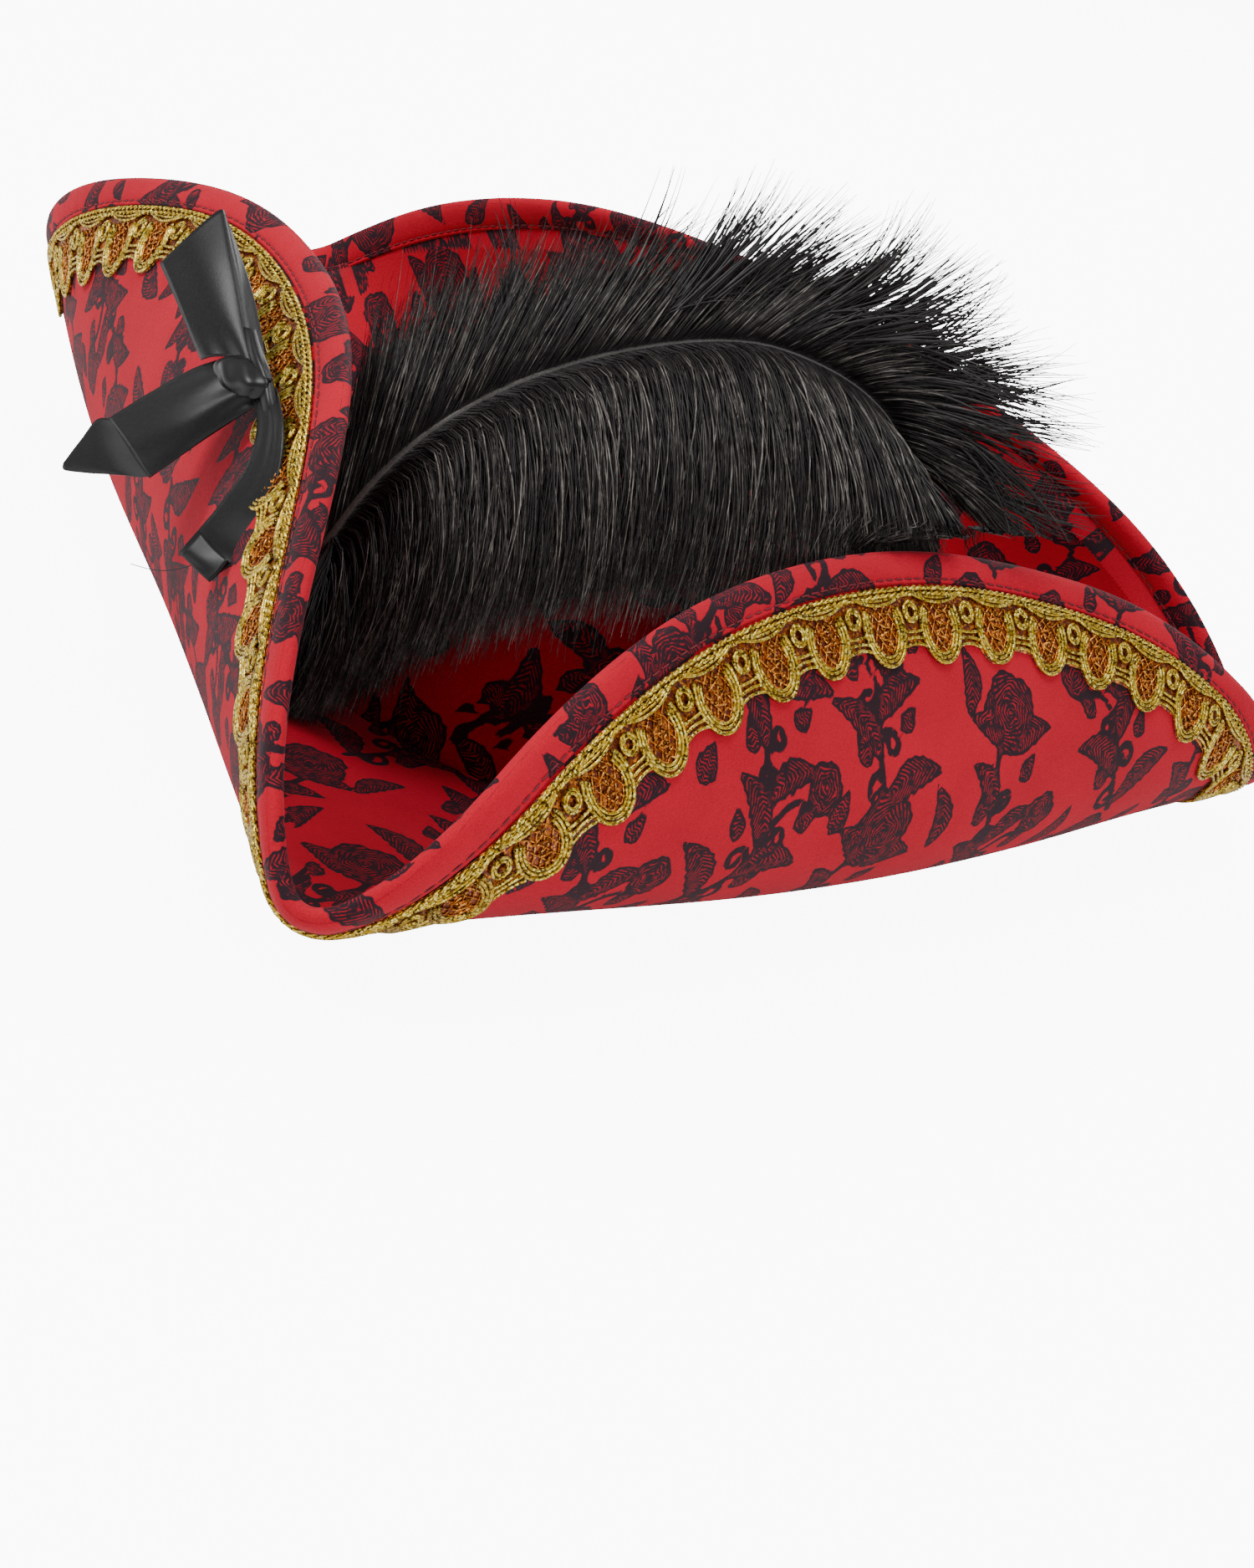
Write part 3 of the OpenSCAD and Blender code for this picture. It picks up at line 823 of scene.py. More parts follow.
def repeat_cords():
    """The cords of one repeat: (points (s, d), radius, level, sides). Loops are parts of
    ellipses, sagging cords parabolas, rings circles, and the last one a falling sine."""
    cords = []
    a = np.radians(np.linspace(-34, 214, 24))
    for half_w, half_h, radius, level in ((8.1, 9.6, 0.62, 3.0), (6.9, 8.3, 0.55, 2.9),
                                          (5.8, 7.2, 0.5, 2.8)):
        loop = np.stack([-half_w * np.cos(a), 11.0 + half_h * np.sin(a)], -1)
        cords.append((loop, radius, level, 6))
    t = np.linspace(-1, 1, 14)
    for sag, radius in ((2.9, 0.5), (1.7, 0.4)):
        cords.append((np.stack([t * (PITCH / 2 - 1.2), 1.9 + sag * (1 - t ** 2)], -1), radius, 3.3, 6))
    a = np.linspace(0, 2 * np.pi, 15)
    for r in (2.7, 1.8):
        cords.append((np.stack([PITCH / 2 + r * np.sin(a), 7.2 - r * np.cos(a)], -1), 0.5, 3.35, 6))
    t = np.linspace(-1, 1, 8)
    for depth, half, rise in ((12.0, 4.6, 0.4), (14.4, 4.6, -0.5), (16.4, 5.0, -0.9)):
        cords.append((np.stack([PITCH / 2 + half * t, depth + rise * (1 - t ** 2)], -1), 0.5, 3.0, 6))
    for side in (-1, 1):
        for shift in np.arange(-9, 10, 3.0):
            t = np.linspace(-1, 1, 5)
            s = side * (shift + 5.2 * t)
            d = 11.5 + 8.5 * t
            keep = (s / 5.8) ** 2 + ((d - 11) / 7.4) ** 2
            if keep[1:-1].min() > 0.8:
                continue
            s, d = np.clip(s, -5.6, 5.6), np.clip(d, 5.0, 18.0)
            cords.append((np.stack([s, d], -1), 0.26, 2.62, 4))
    t = np.linspace(0, 1, 12)
    cords.append((np.stack([2.6 * np.sin(5.2 * np.pi * t), 6.6 + 9.2 * t], -1), 0.36, 2.9, 5))
    return cords


# %% Looped and filling cords
def braid_cords(name, material, thick):
    """The thick or the thin cords of one repeat, laid out at each repeat with a little of
    the unevenness of a made braid: the repeats differ in depth and lean slightly."""
    rng = np.random.default_rng(7)
    centre = np.arange(REPEATS) * PITCH
    depth = 1 + rng.normal(0, 0.018, REPEATS)
    lean = rng.normal(0, 0.03, REPEATS)
    points, faces, count = [], [], 0
    for line, radius, level, sides in repeat_cords():
        if (radius > 0.38) != thick:
            continue
        s = centre[:, None] + line[:, 0] + lean[:, None] * line[:, 1]
        d = np.minimum(line[:, 1] * depth[:, None], DEEPEST)
        paths = braid_point(s, d, level)
        part, tris = capped_tubes(paths, np.full(paths.shape[:2], radius), sides)
        points.append(part)
        faces.append(tris + count)
        count += len(part)
    piece = make_piece(name, np.concatenate(points), np.concatenate(faces), material)
    return piece


# %% Heading cords
HEADING_LAY = 4.97


def heading_cords(material):
    """Two cords, each of two strands twisted round each other: a strand's place is a turn
    0.4 mm wide about its cord, once in every HEADING_LAY."""
    n = 1500
    s = np.linspace(0, REPEATS * PITCH, n, endpoint=False)
    points, faces = [], []
    for cord, depth in enumerate((0.9, 2.4)):
        for strand in (0, np.pi):
            phase = s * 2 * np.pi / HEADING_LAY + strand + cord
            line = braid_point(s, depth + 0.4 * np.cos(phase), 3.0 + 0.4 * np.sin(phase))
            along = unit(np.roll(line, -1, 0) - np.roll(line, 1, 0))
            lift = brim_normal(BRIM_R - BRAID_TOP - depth, s / BRAID_RADIUS)
            side = unit(np.cross(along, lift))
            a = np.arange(5) * 2 * np.pi / 5
            ring = np.cos(a)[:, None] * side[:, None, :] + np.sin(a)[:, None] * lift[:, None, :]
            faces.append(grid_faces(n, 5, wrap_rows=True, wrap_cols=True, first=len(points) * n * 5))
            points.append((line[:, None, :] + 0.46 * ring).reshape(-1, 3))
    piece = make_piece("braid_heading", np.concatenate(points), np.concatenate(faces), material)
    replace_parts(piece, "braid_heading_cords")


# %% Ground of the braid
def braid_ground(material):
    """The net behind the cords: a thin band whose lower edge follows the loops. Its depth is
    the deeper of the loop's ellipse and of the bridge between two loops."""
    per = 16
    s = np.arange(REPEATS * per) * PITCH / per
    x = (s + PITCH / 2) % PITCH - PITCH / 2
    loop = 11.0 + 9.4 * np.sqrt(np.clip(1 - (x / 8.0) ** 2, 0, 1))
    low = np.maximum(loop, 16.0)
    way = np.concatenate([np.linspace(0, 1, 12), np.linspace(1, 0, 4)])
    level = np.concatenate([np.full(12, 2.3), np.full(4, 2.0)])
    d = 0.5 + (low[:, None] - 0.5) * way
    points = braid_point(np.broadcast_to(s[:, None], d.shape), d, np.broadcast_to(level, d.shape))
    faces = grid_faces(len(s), len(way), wrap_rows=True, wrap_cols=True)[:, ::-1]
    piece = make_piece("braid_net", points, faces, material,
                       uv=np.stack([np.broadcast_to(s[:, None], d.shape), d], -1) * 0.1)
    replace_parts(piece, "braid_band")


# %% Metallic thread
def metal_thread(name, pale, deep, dark, cell, net=0.0):
    """Metallic thread: cells of a Voronoi pattern each take their own shade and their own
    tilt, which makes the thread sparkle. With a net, dark gaps show between the threads."""
    material, tree, shader = new_material(name)
    place = coordinate(tree)
    cells = tree.nodes.new("ShaderNodeTexVoronoi")
    cells.inputs["Scale"].default_value = cell
    tree.links.new(place, cells.inputs["Vector"])
    split = tree.nodes.new("ShaderNodeSeparateColor")
    tree.links.new(cells.outputs["Color"], split.inputs["Color"])
    color = mix_color(tree, ramp(tree, split.outputs["Red"], 0.15, 0.6), dark, deep)
    color = mix_color(tree, ramp(tree, split.outputs["Green"], 0.6, 0.9), color, pale)
    if net:
        gaps = ramp(tree, noise(tree, place, 850, 2, 0.6), 0.44, 0.6)
        color = mix_color(tree, math_node(tree, "MULTIPLY", gaps, net), color, (0.10, 0.008, 0.008))
        tree.links.new(math_node(tree, "MULTIPLY_ADD", gaps, -0.7, 0.85), shader.inputs["Metallic"])
    else:
        shader.inputs["Metallic"].default_value = 0.85
    tree.links.new(color, shader.inputs["Base Color"])
    tree.links.new(math_node(tree, "MULTIPLY_ADD", split.outputs["Blue"], 0.25, 0.22),
                   shader.inputs["Roughness"])
    add_bump(tree, split.outputs["Red"], 0.8, 0.0006)
    return material


gold_cord = metal_thread(
    "gold_cord", (1.0, 0.84, 0.20), (0.60, 0.38, 0.02), (0.11, 0.055, 0.004), 1700)
gold_net = metal_thread(
    "gold_net", (1.0, 0.36, 0.06), (0.50, 0.12, 0.01), (0.10, 0.02, 0.004), 1500, 1.0)
copper_cord = metal_thread(
    "copper_cord", (1.0, 0.48, 0.10), (0.62, 0.19, 0.02), (0.12, 0.03, 0.004), 1700)
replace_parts(braid_cords("braid_loops", gold_cord, True), "braid_scallop_cord")
braid_cords("braid_filling", copper_cord, False)
heading_cords(gold_cord)
braid_ground(gold_net)

# %% [markdown]
# ## Crown
# The crown is a dome on the oval of the head: its sides rise almost straight and its top is
# a shallow round. Cover, stiff core and lining are three shells of the same formula.

# %% Crown
HEAD_W, HEAD_L, CROWN_BASE, CROWN_H = 87.0, 100.0, 5.4, 91.0
COVER_GAP = 5.8
CROWN_TURNS = 240


def dome(gap, way, angle, base=CROWN_BASE):
    """Dome point: with s = sin(way)^1.06 as the share of the height, the oval shrinks by
    (1 - s^3)^0.45. gap is the distance out from the head's oval."""
    s = np.sin(way) ** 1.06
    k = (1 - np.clip(s, 0, 1) ** 3) ** 0.45
    r = oval(angle, HEAD_W + gap, HEAD_L + gap) * k
    z = base + (CROWN_H + gap - base) * s + 0 * r
    return np.stack([r * np.cos(angle), r * np.sin(angle), z], -1)


def crown_piece(name, node, low, high, material, printed=None, base=CROWN_BASE, up=60):
    """A closed shell between two gaps. Its outer and inner rings meet at the hem, and each
    side closes on top in a fan of triangles on a pole of its own."""
    angle = np.arange(CROWN_TURNS)[:, None] * 2 * np.pi / CROWN_TURNS
    way = np.linspace(0, 0.995, up) * np.pi / 2
    outer = dome(high, way[None, :], angle, base)
    inner = dome(low, way[None, ::3], angle, base)[:, ::-1]
    points = np.concatenate([outer, inner], 1)
    around, width = points.shape[:2]
    count = around * width
    quads = grid_faces(around, width, wrap_rows=True, wrap_cols=True)
    quads = quads[quads[:, 0] % width != up - 1]
    here = np.arange(around) * width + up - 1
    there = np.roll(here, -1)
    fans = [np.stack([here, there, np.full(around, count)], -1),
            np.stack([there + 1, here + 1, np.full(around, count + 1)], -1)]
    tris = np.concatenate([quads[:, [0, 1, 2]], quads[:, [0, 2, 3]]] + fans)
    poles = np.array([[0, 0, CROWN_H + high], [0, 0, CROWN_H + low]])
    points = np.concatenate([points.reshape(-1, 3), poles])
    fields = None
    if printed is not None:
        run = 118 * (1 - way / (np.pi / 2))
        run = np.concatenate([run, run[::3][::-1]])
        place = flat_place(run[None, :], angle).reshape(-1, 2)
        fields = print_fields(np.concatenate([place, np.zeros((2, 2))]), *printed)
    piece = make_piece(name, points, tris, material, fields=fields)
    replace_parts(piece, node)
    return piece


# %% Sweatband
BAND_TURNS = 420
BAND_STITCHES = 150


def sweatband_piece(material):
    """A band round the head's oval with a rolled lower edge and a woven rib."""
    angle = np.arange(BAND_TURNS)[:, None] * 2 * np.pi / BAND_TURNS
    z = np.concatenate([np.linspace(0.0, 24, 14), np.linspace(24, 0.0, 14)])
    g = np.concatenate([np.full(14, 0.1), np.full(14, 1.5)])
    g[0], g[-1] = 0.4, 1.2
    r = oval(angle, HEAD_W + g, HEAD_L + g)
    points = np.stack([r * np.cos(angle), r * np.sin(angle), z + 0 * r], -1)
    faces = grid_faces(BAND_TURNS, 28, wrap_rows=True, wrap_cols=True)[:, ::-1]
    piece = make_piece("sweatband_cloth", points, faces, material,
                       uv=np.stack([angle * 93.5 + 0 * r, z + 0 * r], -1) * MM)
    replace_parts(piece, "sweatband")


def band_stitches(material):
    """Two rows of short stitches round the inside of the sweatband."""
    t = np.linspace(0, 1, 4)
    angle = (np.arange(BAND_STITCHES)[:, None] + 0.65 * t) * 2 * np.pi / BAND_STITCHES
    angle = angle[None] * np.ones((2, 1, 1))
    r = oval(angle, HEAD_W - 0.1, HEAD_L - 0.1)
    z = np.array([21.0, 3.0])[:, None, None] + 0 * r
    paths = np.stack([r * np.cos(angle), r * np.sin(angle), z], -1).reshape(-1, 4, 3)
    points, faces = capped_tubes(paths, np.full(paths.shape[:2], 0.22), 5)
    piece = make_piece("band_stitches", points, faces, material)
    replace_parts(piece, "sweatband_stitching")


def ribbed(name, color, rib):
    """Grosgrain: upright ribs as a wave along the band, over a fine grain."""
    material = plain(name, color, 0.6, 2600)
    tree = material.node_tree
    uv = coordinate(tree, "UV")
    wave = tree.nodes.new("ShaderNodeTexWave")
    wave.inputs["Scale"].default_value = rib
    tree.links.new(uv, wave.inputs["Vector"])
    bump = next(n for n in tree.nodes if n.bl_idname == "ShaderNodeBump")
    tree.links.new(wave.outputs["Fac"], bump.inputs["Height"])
    return material


# %% Crown, lining and band
cover = crown_piece("crown_cloth", "crown_cover", 4.8, COVER_GAP, suede_in, (0.9, 31), base=3.6)
core = crown_piece("crown_board", "crown_core", 3.3, 4.7, board_gray, up=30)
lining = crown_piece("crown_lining_cloth", "crown_lining", 2.6, 3.2,
                     plain("lining_black", (0.016, 0.016, 0.018), 0.55, 1800), up=30)
sweatband_piece(ribbed("grosgrain_black", (0.014, 0.014, 0.015), 700))
band_stitches(thread_black)

# %% [markdown]
# ## Ostrich plume: the shaft
# The shaft is a smooth curve through a dozen points that rises from a cloth patch on the
# brim and arches back over the crown. Barbs leave it on both sides in one soft surface:
# ACROSS and UP are the directions of that surface and OUT points off it, away from the
# crown.

# %% Shaft
SHAFT = ((104, -32, 10), (107, -22, 14), (108, -11, 27), (104, -2, 48), (96, 4, 73), (82, 10, 94),
         (61, 20, 113), (36, 34, 128), (12, 49, 136), (-8, 63, 134), (-21, 76, 127), (-29, 88, 114))
ACROSS = np.array([-0.694, 0.72, 0.0])
LEVEL_OUT = np.array([0.72, 0.694, 0.0])
UP = np.array([0, 0, math.cos(math.radians(35))]) - LEVEL_OUT * math.sin(math.radians(35))
OUT = np.cross(ACROSS, UP)
OUT = OUT * np.sign(OUT @ LEVEL_OUT)


def smooth_curve(points, t):
    """Catmull-Rom curve through points, at shares t of the way along."""
    p = np.asarray(points, float)
    p = np.concatenate([[2 * p[0] - p[1]], p, [2 * p[-1] - p[-2]]])
    x = np.clip(np.asarray(t, float), 0, 1) * (len(p) - 3)
    i = np.minimum(x.astype(int), len(p) - 4)
    f = (x - i)[..., None]
    a, b, c, d = p[i], p[i + 1], p[i + 2], p[i + 3]
    return 0.5 * (2 * b + (c - a) * f + (2 * a - 5 * b + 4 * c - d) * f ** 2
                  + (3 * b - a - 3 * c + d) * f ** 3)


def shaft_angle(t):
    """Heading of the shaft on the plume's surface, in degrees from ACROSS towards UP."""
    d = smooth_curve(SHAFT, t + 0.01) - smooth_curve(SHAFT, t - 0.01)
    return np.degrees(np.arctan2(d @ UP, d @ ACROSS))


print("shaft leaves at", shaft_angle(np.array([0.1])).round(1), "degrees")

# %% [markdown]
# ## Ostrich plume: one barb
# A barb is a fine strand, so a whole vane is made as one array of paths. The heading of a
# barb turns from its angle at the shaft, through a middle angle, to the angle of its tip.
# Adding up the steps gives its path. Barbs bunch into small clumps, as real ones do.

# %% Paths of the barbs
def barb_paths(t, first, middle, last, length, lift, rng, m=10, wave=1.2):
    """Paths (n, m, 3) of barbs rooted at shares t of the shaft. Heading: a quick turn from
    first to middle over the first fifth, then steadily to last. lift bows a barb off the
    surface as a half sine, and each barb sways by a slow sine of its own."""
    w = np.linspace(0, 1, m)
    quick = np.clip(w / 0.2, 0, 1)
    quick = quick * quick * (3 - 2 * quick)
    heading = first[:, None] + (middle - first)[:, None] * quick + (last - middle)[:, None] * w ** 1.25
    heading = heading + wave * 6 * np.sin(2.5 * w + rng.uniform(0, 6.3, (len(t), 1))) * w
    a = np.radians(heading)
    ahead = np.cos(a)[..., None] * ACROSS + np.sin(a)[..., None] * UP
    step = (length / (m - 1))[:, None, None] * ahead
    path = np.concatenate([np.zeros((len(t), 1, 3)), np.cumsum(step[:, :-1], 1)], 1)
    path = path + smooth_curve(SHAFT, t)[:, None, :]
    return path + (lift[:, None] * np.sin(0.8 * np.pi * w))[..., None] * OUT


# %% Room for the barbs
CROWN_ROOM = 3.0
PANEL_ROOM = (3.0, 3.0, 5.5)


def clear_of_crown(paths):
    """Push points out of an ellipsoid just larger than the crown, and keep them above the
    brim's rising floor."""
    size = np.array([half + COVER_GAP + CROWN_ROOM for half in (HEAD_W, HEAD_L, CROWN_H)])
    q = np.linalg.norm(paths / size, axis=-1, keepdims=True)
    paths = np.where(q < 1, paths / np.maximum(q, 0.2), paths)
    rho = np.hypot(paths[..., 0], paths[..., 1])
    floor = BRIM_Z + COVER_OUT + 1.0 + np.clip(rho - 88, 0, 60) * 0.11
    paths[..., 2] = np.maximum(paths[..., 2], floor)
    return paths


def keep_inside_panels(paths):
    """Hold barbs off the turned-up panels, and back from their top edges. For each panel the
    inner face is sampled up its middle, which gives its reach along the panel's direction
    as a function of height; a point further out than that, less a gap, is moved in."""
    for (where, fold, *_), gap in zip(PANELS, PANEL_ROOM):
        d = math.radians(where)
        toward = np.array([math.cos(d), math.sin(d), 0])
        face = brim_point(np.linspace(fold, BRIM_R, 60), np.full(60, d), np.full(60, 2.9))
        height, reach = face[:, 2], face @ toward
        top = height[-1]
        z = paths[..., 2]
        allowed = np.interp(z, height, reach) - gap + 4 * np.clip(z - top - 6, 0, None)
        over = np.clip(paths @ toward - allowed, 0, None)
        paths = paths - over[..., None] * toward
    return paths


# %% Barbs into a mesh
def clumped(rng, t, clumps, spread):
    """A shared random offset for each clump of neighbouring barbs, plus a little each."""
    which = (t * clumps + rng.normal(0, 0.35, len(t))).astype(int) % clumps
    return rng.normal(0, spread, clumps)[which] + rng.normal(0, spread * 0.35, len(t))


def barb_piece(name, paths, width, tone_and_glint, material):
    """Tapered three-sided strands, a little flattened, with a random value for each, which sets
    its darkness and picks the barbs that get a painted highlight, and the way along it kept as
    attributes."""
    n, m, _ = paths.shape
    w = np.linspace(0, 1, m)
    swell = 0.55 + 0.45 * np.sin(np.pi * np.clip(w * 1.25, 0, 1))
    radii = width[:, None] * swell * (1 - 0.75 * w ** 3)
    guide = np.broadcast_to(OUT, paths.shape)
    points, faces = capped_tubes(paths, radii, 3, guide, 0.6)
    per = m * 3 + 2
    way = np.concatenate([np.repeat(w, 3), [0, 1]])
    piece = make_piece(name, points, faces, material, "plume", fields={
        "barb_tone_and_glint": np.repeat(tone_and_glint, per), "barb_way": np.tile(way, n)})
    return piece


# %% [markdown]
# ## Ostrich plume: vanes, tuft and locks
# Each helper draws a place on the shaft for every barb and reads its headings and length
# from short tables along the shaft. The lower vane hangs over the crown, the upper one
# stands free, and longer locks stray past it.

# %% Vanes
def lower_barbs(rng, n):
    """Barbs of the vane that hangs over the crown: short at both ends, longest at three
    quarters of the way, drooping until they hang almost straight down."""
    t = rng.uniform(0.12, 1.0, n)
    sway = clumped(rng, t, 230, 3.2)
    tangent = shaft_angle(t)
    first = tangent - 42
    middle = np.interp(t, [0.1, 0.3, 0.55, 0.8, 1.0], [-78, -54, -58, -56, -36]) + sway
    last = np.interp(t, [0.1, 0.4, 0.7, 0.9, 1.0], [-104, -96, -92, -76, -50]) + 1.4 * sway
    length = np.interp(t, [0.1, 0.25, 0.45, 0.65, 0.85, 1.0], [34, 52, 72, 84, 76, 44])
    length = length * (1 + rng.normal(0, 0.06, n)) * rng.choice([1, 0.8, 0.6], n, p=[0.8, 0.14, 0.06])
    lift = np.interp(t, [0, 0.3, 0.7, 1], [5, 13, 17, 12]) + rng.normal(0, 2.2, n)
    return barb_paths(t, first, middle, last, length, lift, rng), rng.random(n)


def upper_barbs(rng, n):
    """Barbs of the free vane: they leave close to the shaft's own heading, then turn up, and
    lean over more and more towards the tip."""
    t = rng.uniform(0.16, 1.0, n)
    sway = clumped(rng, t, 210, 3.0)
    first = shaft_angle(t) + 26
    end = np.interp(t, [0.1, 0.4, 0.6, 0.75, 0.88, 1.0], [95, 90, 80, 58, 14, -30]) + sway
    middle = np.interp(t, [0.1, 0.6, 1.0], [0.5, 0.45, 0.3]) * (end - first) + first
    length = np.interp(t, [0.1, 0.3, 0.5, 0.7, 0.85, 1.0], [54, 62, 48, 31, 28, 32])
    length = length * (1 + rng.normal(0, 0.13, n)) * rng.choice([1, 0.75, 0.5], n, p=[0.6, 0.25, 0.15])
    lift = rng.normal(0.5, 2.6, n) + 2
    return barb_paths(t, first, middle, end, length, lift, rng, wave=1.4), rng.random(n)


# %% Tuft and locks
def base_tuft(rng, n):
    """Short soft barbs at the foot of the shaft that hang down into the brim's hollow."""
    t = rng.uniform(0.10, 0.30, n)
    sway = clumped(rng, t, 60, 6)
    first = np.full(n, -60.0) + sway
    last = -97 + 1.5 * sway
    length = rng.uniform(24, 50, n)
    lift = rng.normal(7, 4, n)
    # Values stay under 0.55, so the tuft gets none of the painted highlight.
    return barb_paths(t, first, first - 14, last, length, lift, rng), rng.random(n) * 0.55


def loose_tips(rng, n):
    """Long barbs that reach past the dense part of the free vane in locks of four to nine.
    A lock shares its root, its heading and the hook at its tip; its barbs differ a little."""
    locks = n // 8
    inner, outer = rng.uniform(0.30, 0.62, locks // 4), rng.uniform(0.6, 1.0, locks - locks // 4)
    root = np.concatenate([inner, outer])
    which = rng.integers(0, locks, n)
    t = np.clip(root[which] + rng.normal(0, 0.006, n), 0, 1)
    first = shaft_angle(t) + 26
    end = np.interp(t, [0.3, 0.5, 0.62, 0.75, 0.88, 1.0], [88, 78, 64, 44, 8, -24])
    end = end + rng.normal(0, 9, locks)[which] + rng.normal(0, 2.5, n)
    hook = (rng.normal(-6, 20, locks))[which] + rng.normal(0, 5, n)
    length = np.interp(t, [0.3, 0.5, 0.7, 0.85, 1.0], [60, 62, 64, 68, 54])
    length = length * rng.uniform(0.78, 1.1, locks)[which] * rng.uniform(0.9, 1.04, n)
    lift = rng.normal(1.5, 3.5, locks)[which] + rng.normal(0, 0.5, n)
    middle = 0.4 * first + 0.6 * end
    paths = barb_paths(t, first, middle, end + hook, length, lift, rng, m=16, wave=1.0)
    # Values stay under 0.7, so these locks get only a little of the painted highlight.
    return paths, rng.random(n) * 0.7


# %% Plume finish and quill
def plume_material():
    """Near-black barbs, each a little darker or lighter at random, with a painted highlight in
    warm grey on a few: the random value kept with each barb picks them, and a noise streaks the
    highlight. The way along a barb keeps the painted highlight off its root, which stays dark as
    painted shade where the vane shades itself."""
    material, tree, shader = new_material("ostrich_black")
    tone_and_glint, way = attribute(tree, "barb_tone_and_glint"), attribute(tree, "barb_way")
    # Painted highlight: picked by each barb's random value, streaked by a noise, and faded out towards
    # the root, which stays dark as painted shade.
    glint = ramp(tree, tone_and_glint, 0.55, 0.95)
    streak = ramp(tree, noise(tree, coordinate(tree), 240, 2, 0.6), 0.4, 0.7)
    shown = math_node(tree, "MULTIPLY", glint, ramp(tree, way, 0.08, 0.3))
    shown = math_node(tree, "MULTIPLY", shown, math_node(tree, "MULTIPLY_ADD", streak, 0.7, 0.3))
    dark = mix_color(tree, tone_and_glint, (0.010, 0.008, 0.008), (0.022, 0.018, 0.017))
    # Warm grey of the painted highlight, laid over the near-black barbs.
    color = mix_color(tree, shown, dark, (0.26, 0.235, 0.21))
    tree.links.new(color, shader.inputs["Base Color"])
    shader.inputs["Roughness"].default_value = 0.48
    shader.inputs["Specular IOR Level"].default_value = 0.35
    return material


def shaft_piece(material):
    """The quill: thick and bare at its foot, thin at the tip."""
    t = np.linspace(0, 1, 120)
    path = smooth_curve(SHAFT, t)[None]
    radii = (0.45 + 1.15 * (1 - t) ** 0.8)[None]
    points, faces = capped_tubes(path, radii, 10, np.broadcast_to(OUT, path.shape), 0.85)
    piece = make_piece("plume_shaft", points, faces, material, "plume")
    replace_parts(piece, "feather_quill")


shaft_piece(plain("quill_gray", (0.085, 0.078, 0.072), 0.42, 1500))

# %% Grow the plume
ostrich = plume_material()
rng = np.random.default_rng(41)
uppers, lowers = [], []
for k in range(3):
    paths, tone_and_glint = lower_barbs(rng, 3050)
    lowers.append(barb_piece(f"lower_barbs_{k + 1}", keep_inside_panels(clear_of_crown(paths)),
                             rng.uniform(0.20, 0.34, len(tone_and_glint)), tone_and_glint, ostrich))
for k in range(2):
    paths, tone_and_glint = upper_barbs(rng, 3050)
    uppers.append(barb_piece(f"upper_barbs_{k + 1}", keep_inside_panels(paths),
                             rng.uniform(0.18, 0.30, len(tone_and_glint)), tone_and_glint, ostrich))
paths, tone_and_glint = base_tuft(rng, 1300)
lowers.append(barb_piece("foot_tuft", keep_inside_panels(clear_of_crown(paths)),
                         rng.uniform(0.2, 0.32, len(tone_and_glint)), tone_and_glint, ostrich))
paths, tone_and_glint = loose_tips(rng, 1100)
paths = keep_inside_panels(paths)
uppers.append(barb_piece("loose_tips", paths, rng.uniform(0.38, 0.62, len(tone_and_glint)), tone_and_glint, ostrich))
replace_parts(lowers[0], "feather_lower_vane")
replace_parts(uppers[0], "feather_upper_vane")

# %% [markdown]
# ## Satin bow
# Lengths of black satin ribbon are knotted on the braid. The bow is laid out on axes that
# face the rear left corner: BOW_RIGHT and BOW_UP lie across that view and the third value
# of each point is its height off the panel. A net of control points, smoothed in both
# directions, gives each ribbon its middle surface, and its thickness is added on.

# %% Place of the bow
KNOT_RHO, KNOT_ANGLE = np.array([217.0]), np.radians([351.0])
KNOT = brim_point(KNOT_RHO, KNOT_ANGLE, np.array([-10.85]))[0]
VIEW = Matrix(camera.matrix_world).to_3x3()
BOW_RIGHT, BOW_UP = np.array(VIEW.col[0]), np.array(VIEW.col[1])
BOW_VIEWPOINT = np.array(camera.matrix_world.translation) / MM
PANEL_OUT = -brim_normal(KNOT_RHO, KNOT_ANGLE)[0]
BOW_OUT = unit(PANEL_OUT + 0.62 * np.array(VIEW.col[2]))
print("knot at", KNOT.round(1), "mm")


def bow_place(net):
    """From (right, up, lift) to points in mm: a line from the viewpoint through the place
    on the view plane at the knot is carried on to the bow's own plane, which stands out
    from the panel towards that view, and then lies `lift` off it."""
    net = np.asarray(net, float)
    line = KNOT + net[..., 0:1] * BOW_RIGHT + net[..., 1:2] * BOW_UP - BOW_VIEWPOINT
    depth = (KNOT - BOW_VIEWPOINT) @ BOW_OUT + net[..., 2] - 5.0
    return BOW_VIEWPOINT + line * (depth / (line @ BOW_OUT))[..., None]


def smooth_net(net, rows, cols):
    """Catmull-Rom in both directions through a net of points."""
    net = np.asarray(net, float)
    lines = np.stack([smooth_curve(row, np.linspace(0, 1, cols)) for row in net])
    return np.stack([smooth_curve(lines[:, j], np.linspace(0, 1, rows)) for j in range(cols)], 1)


# %% Ribbon
RIBBON_THICK = 0.42


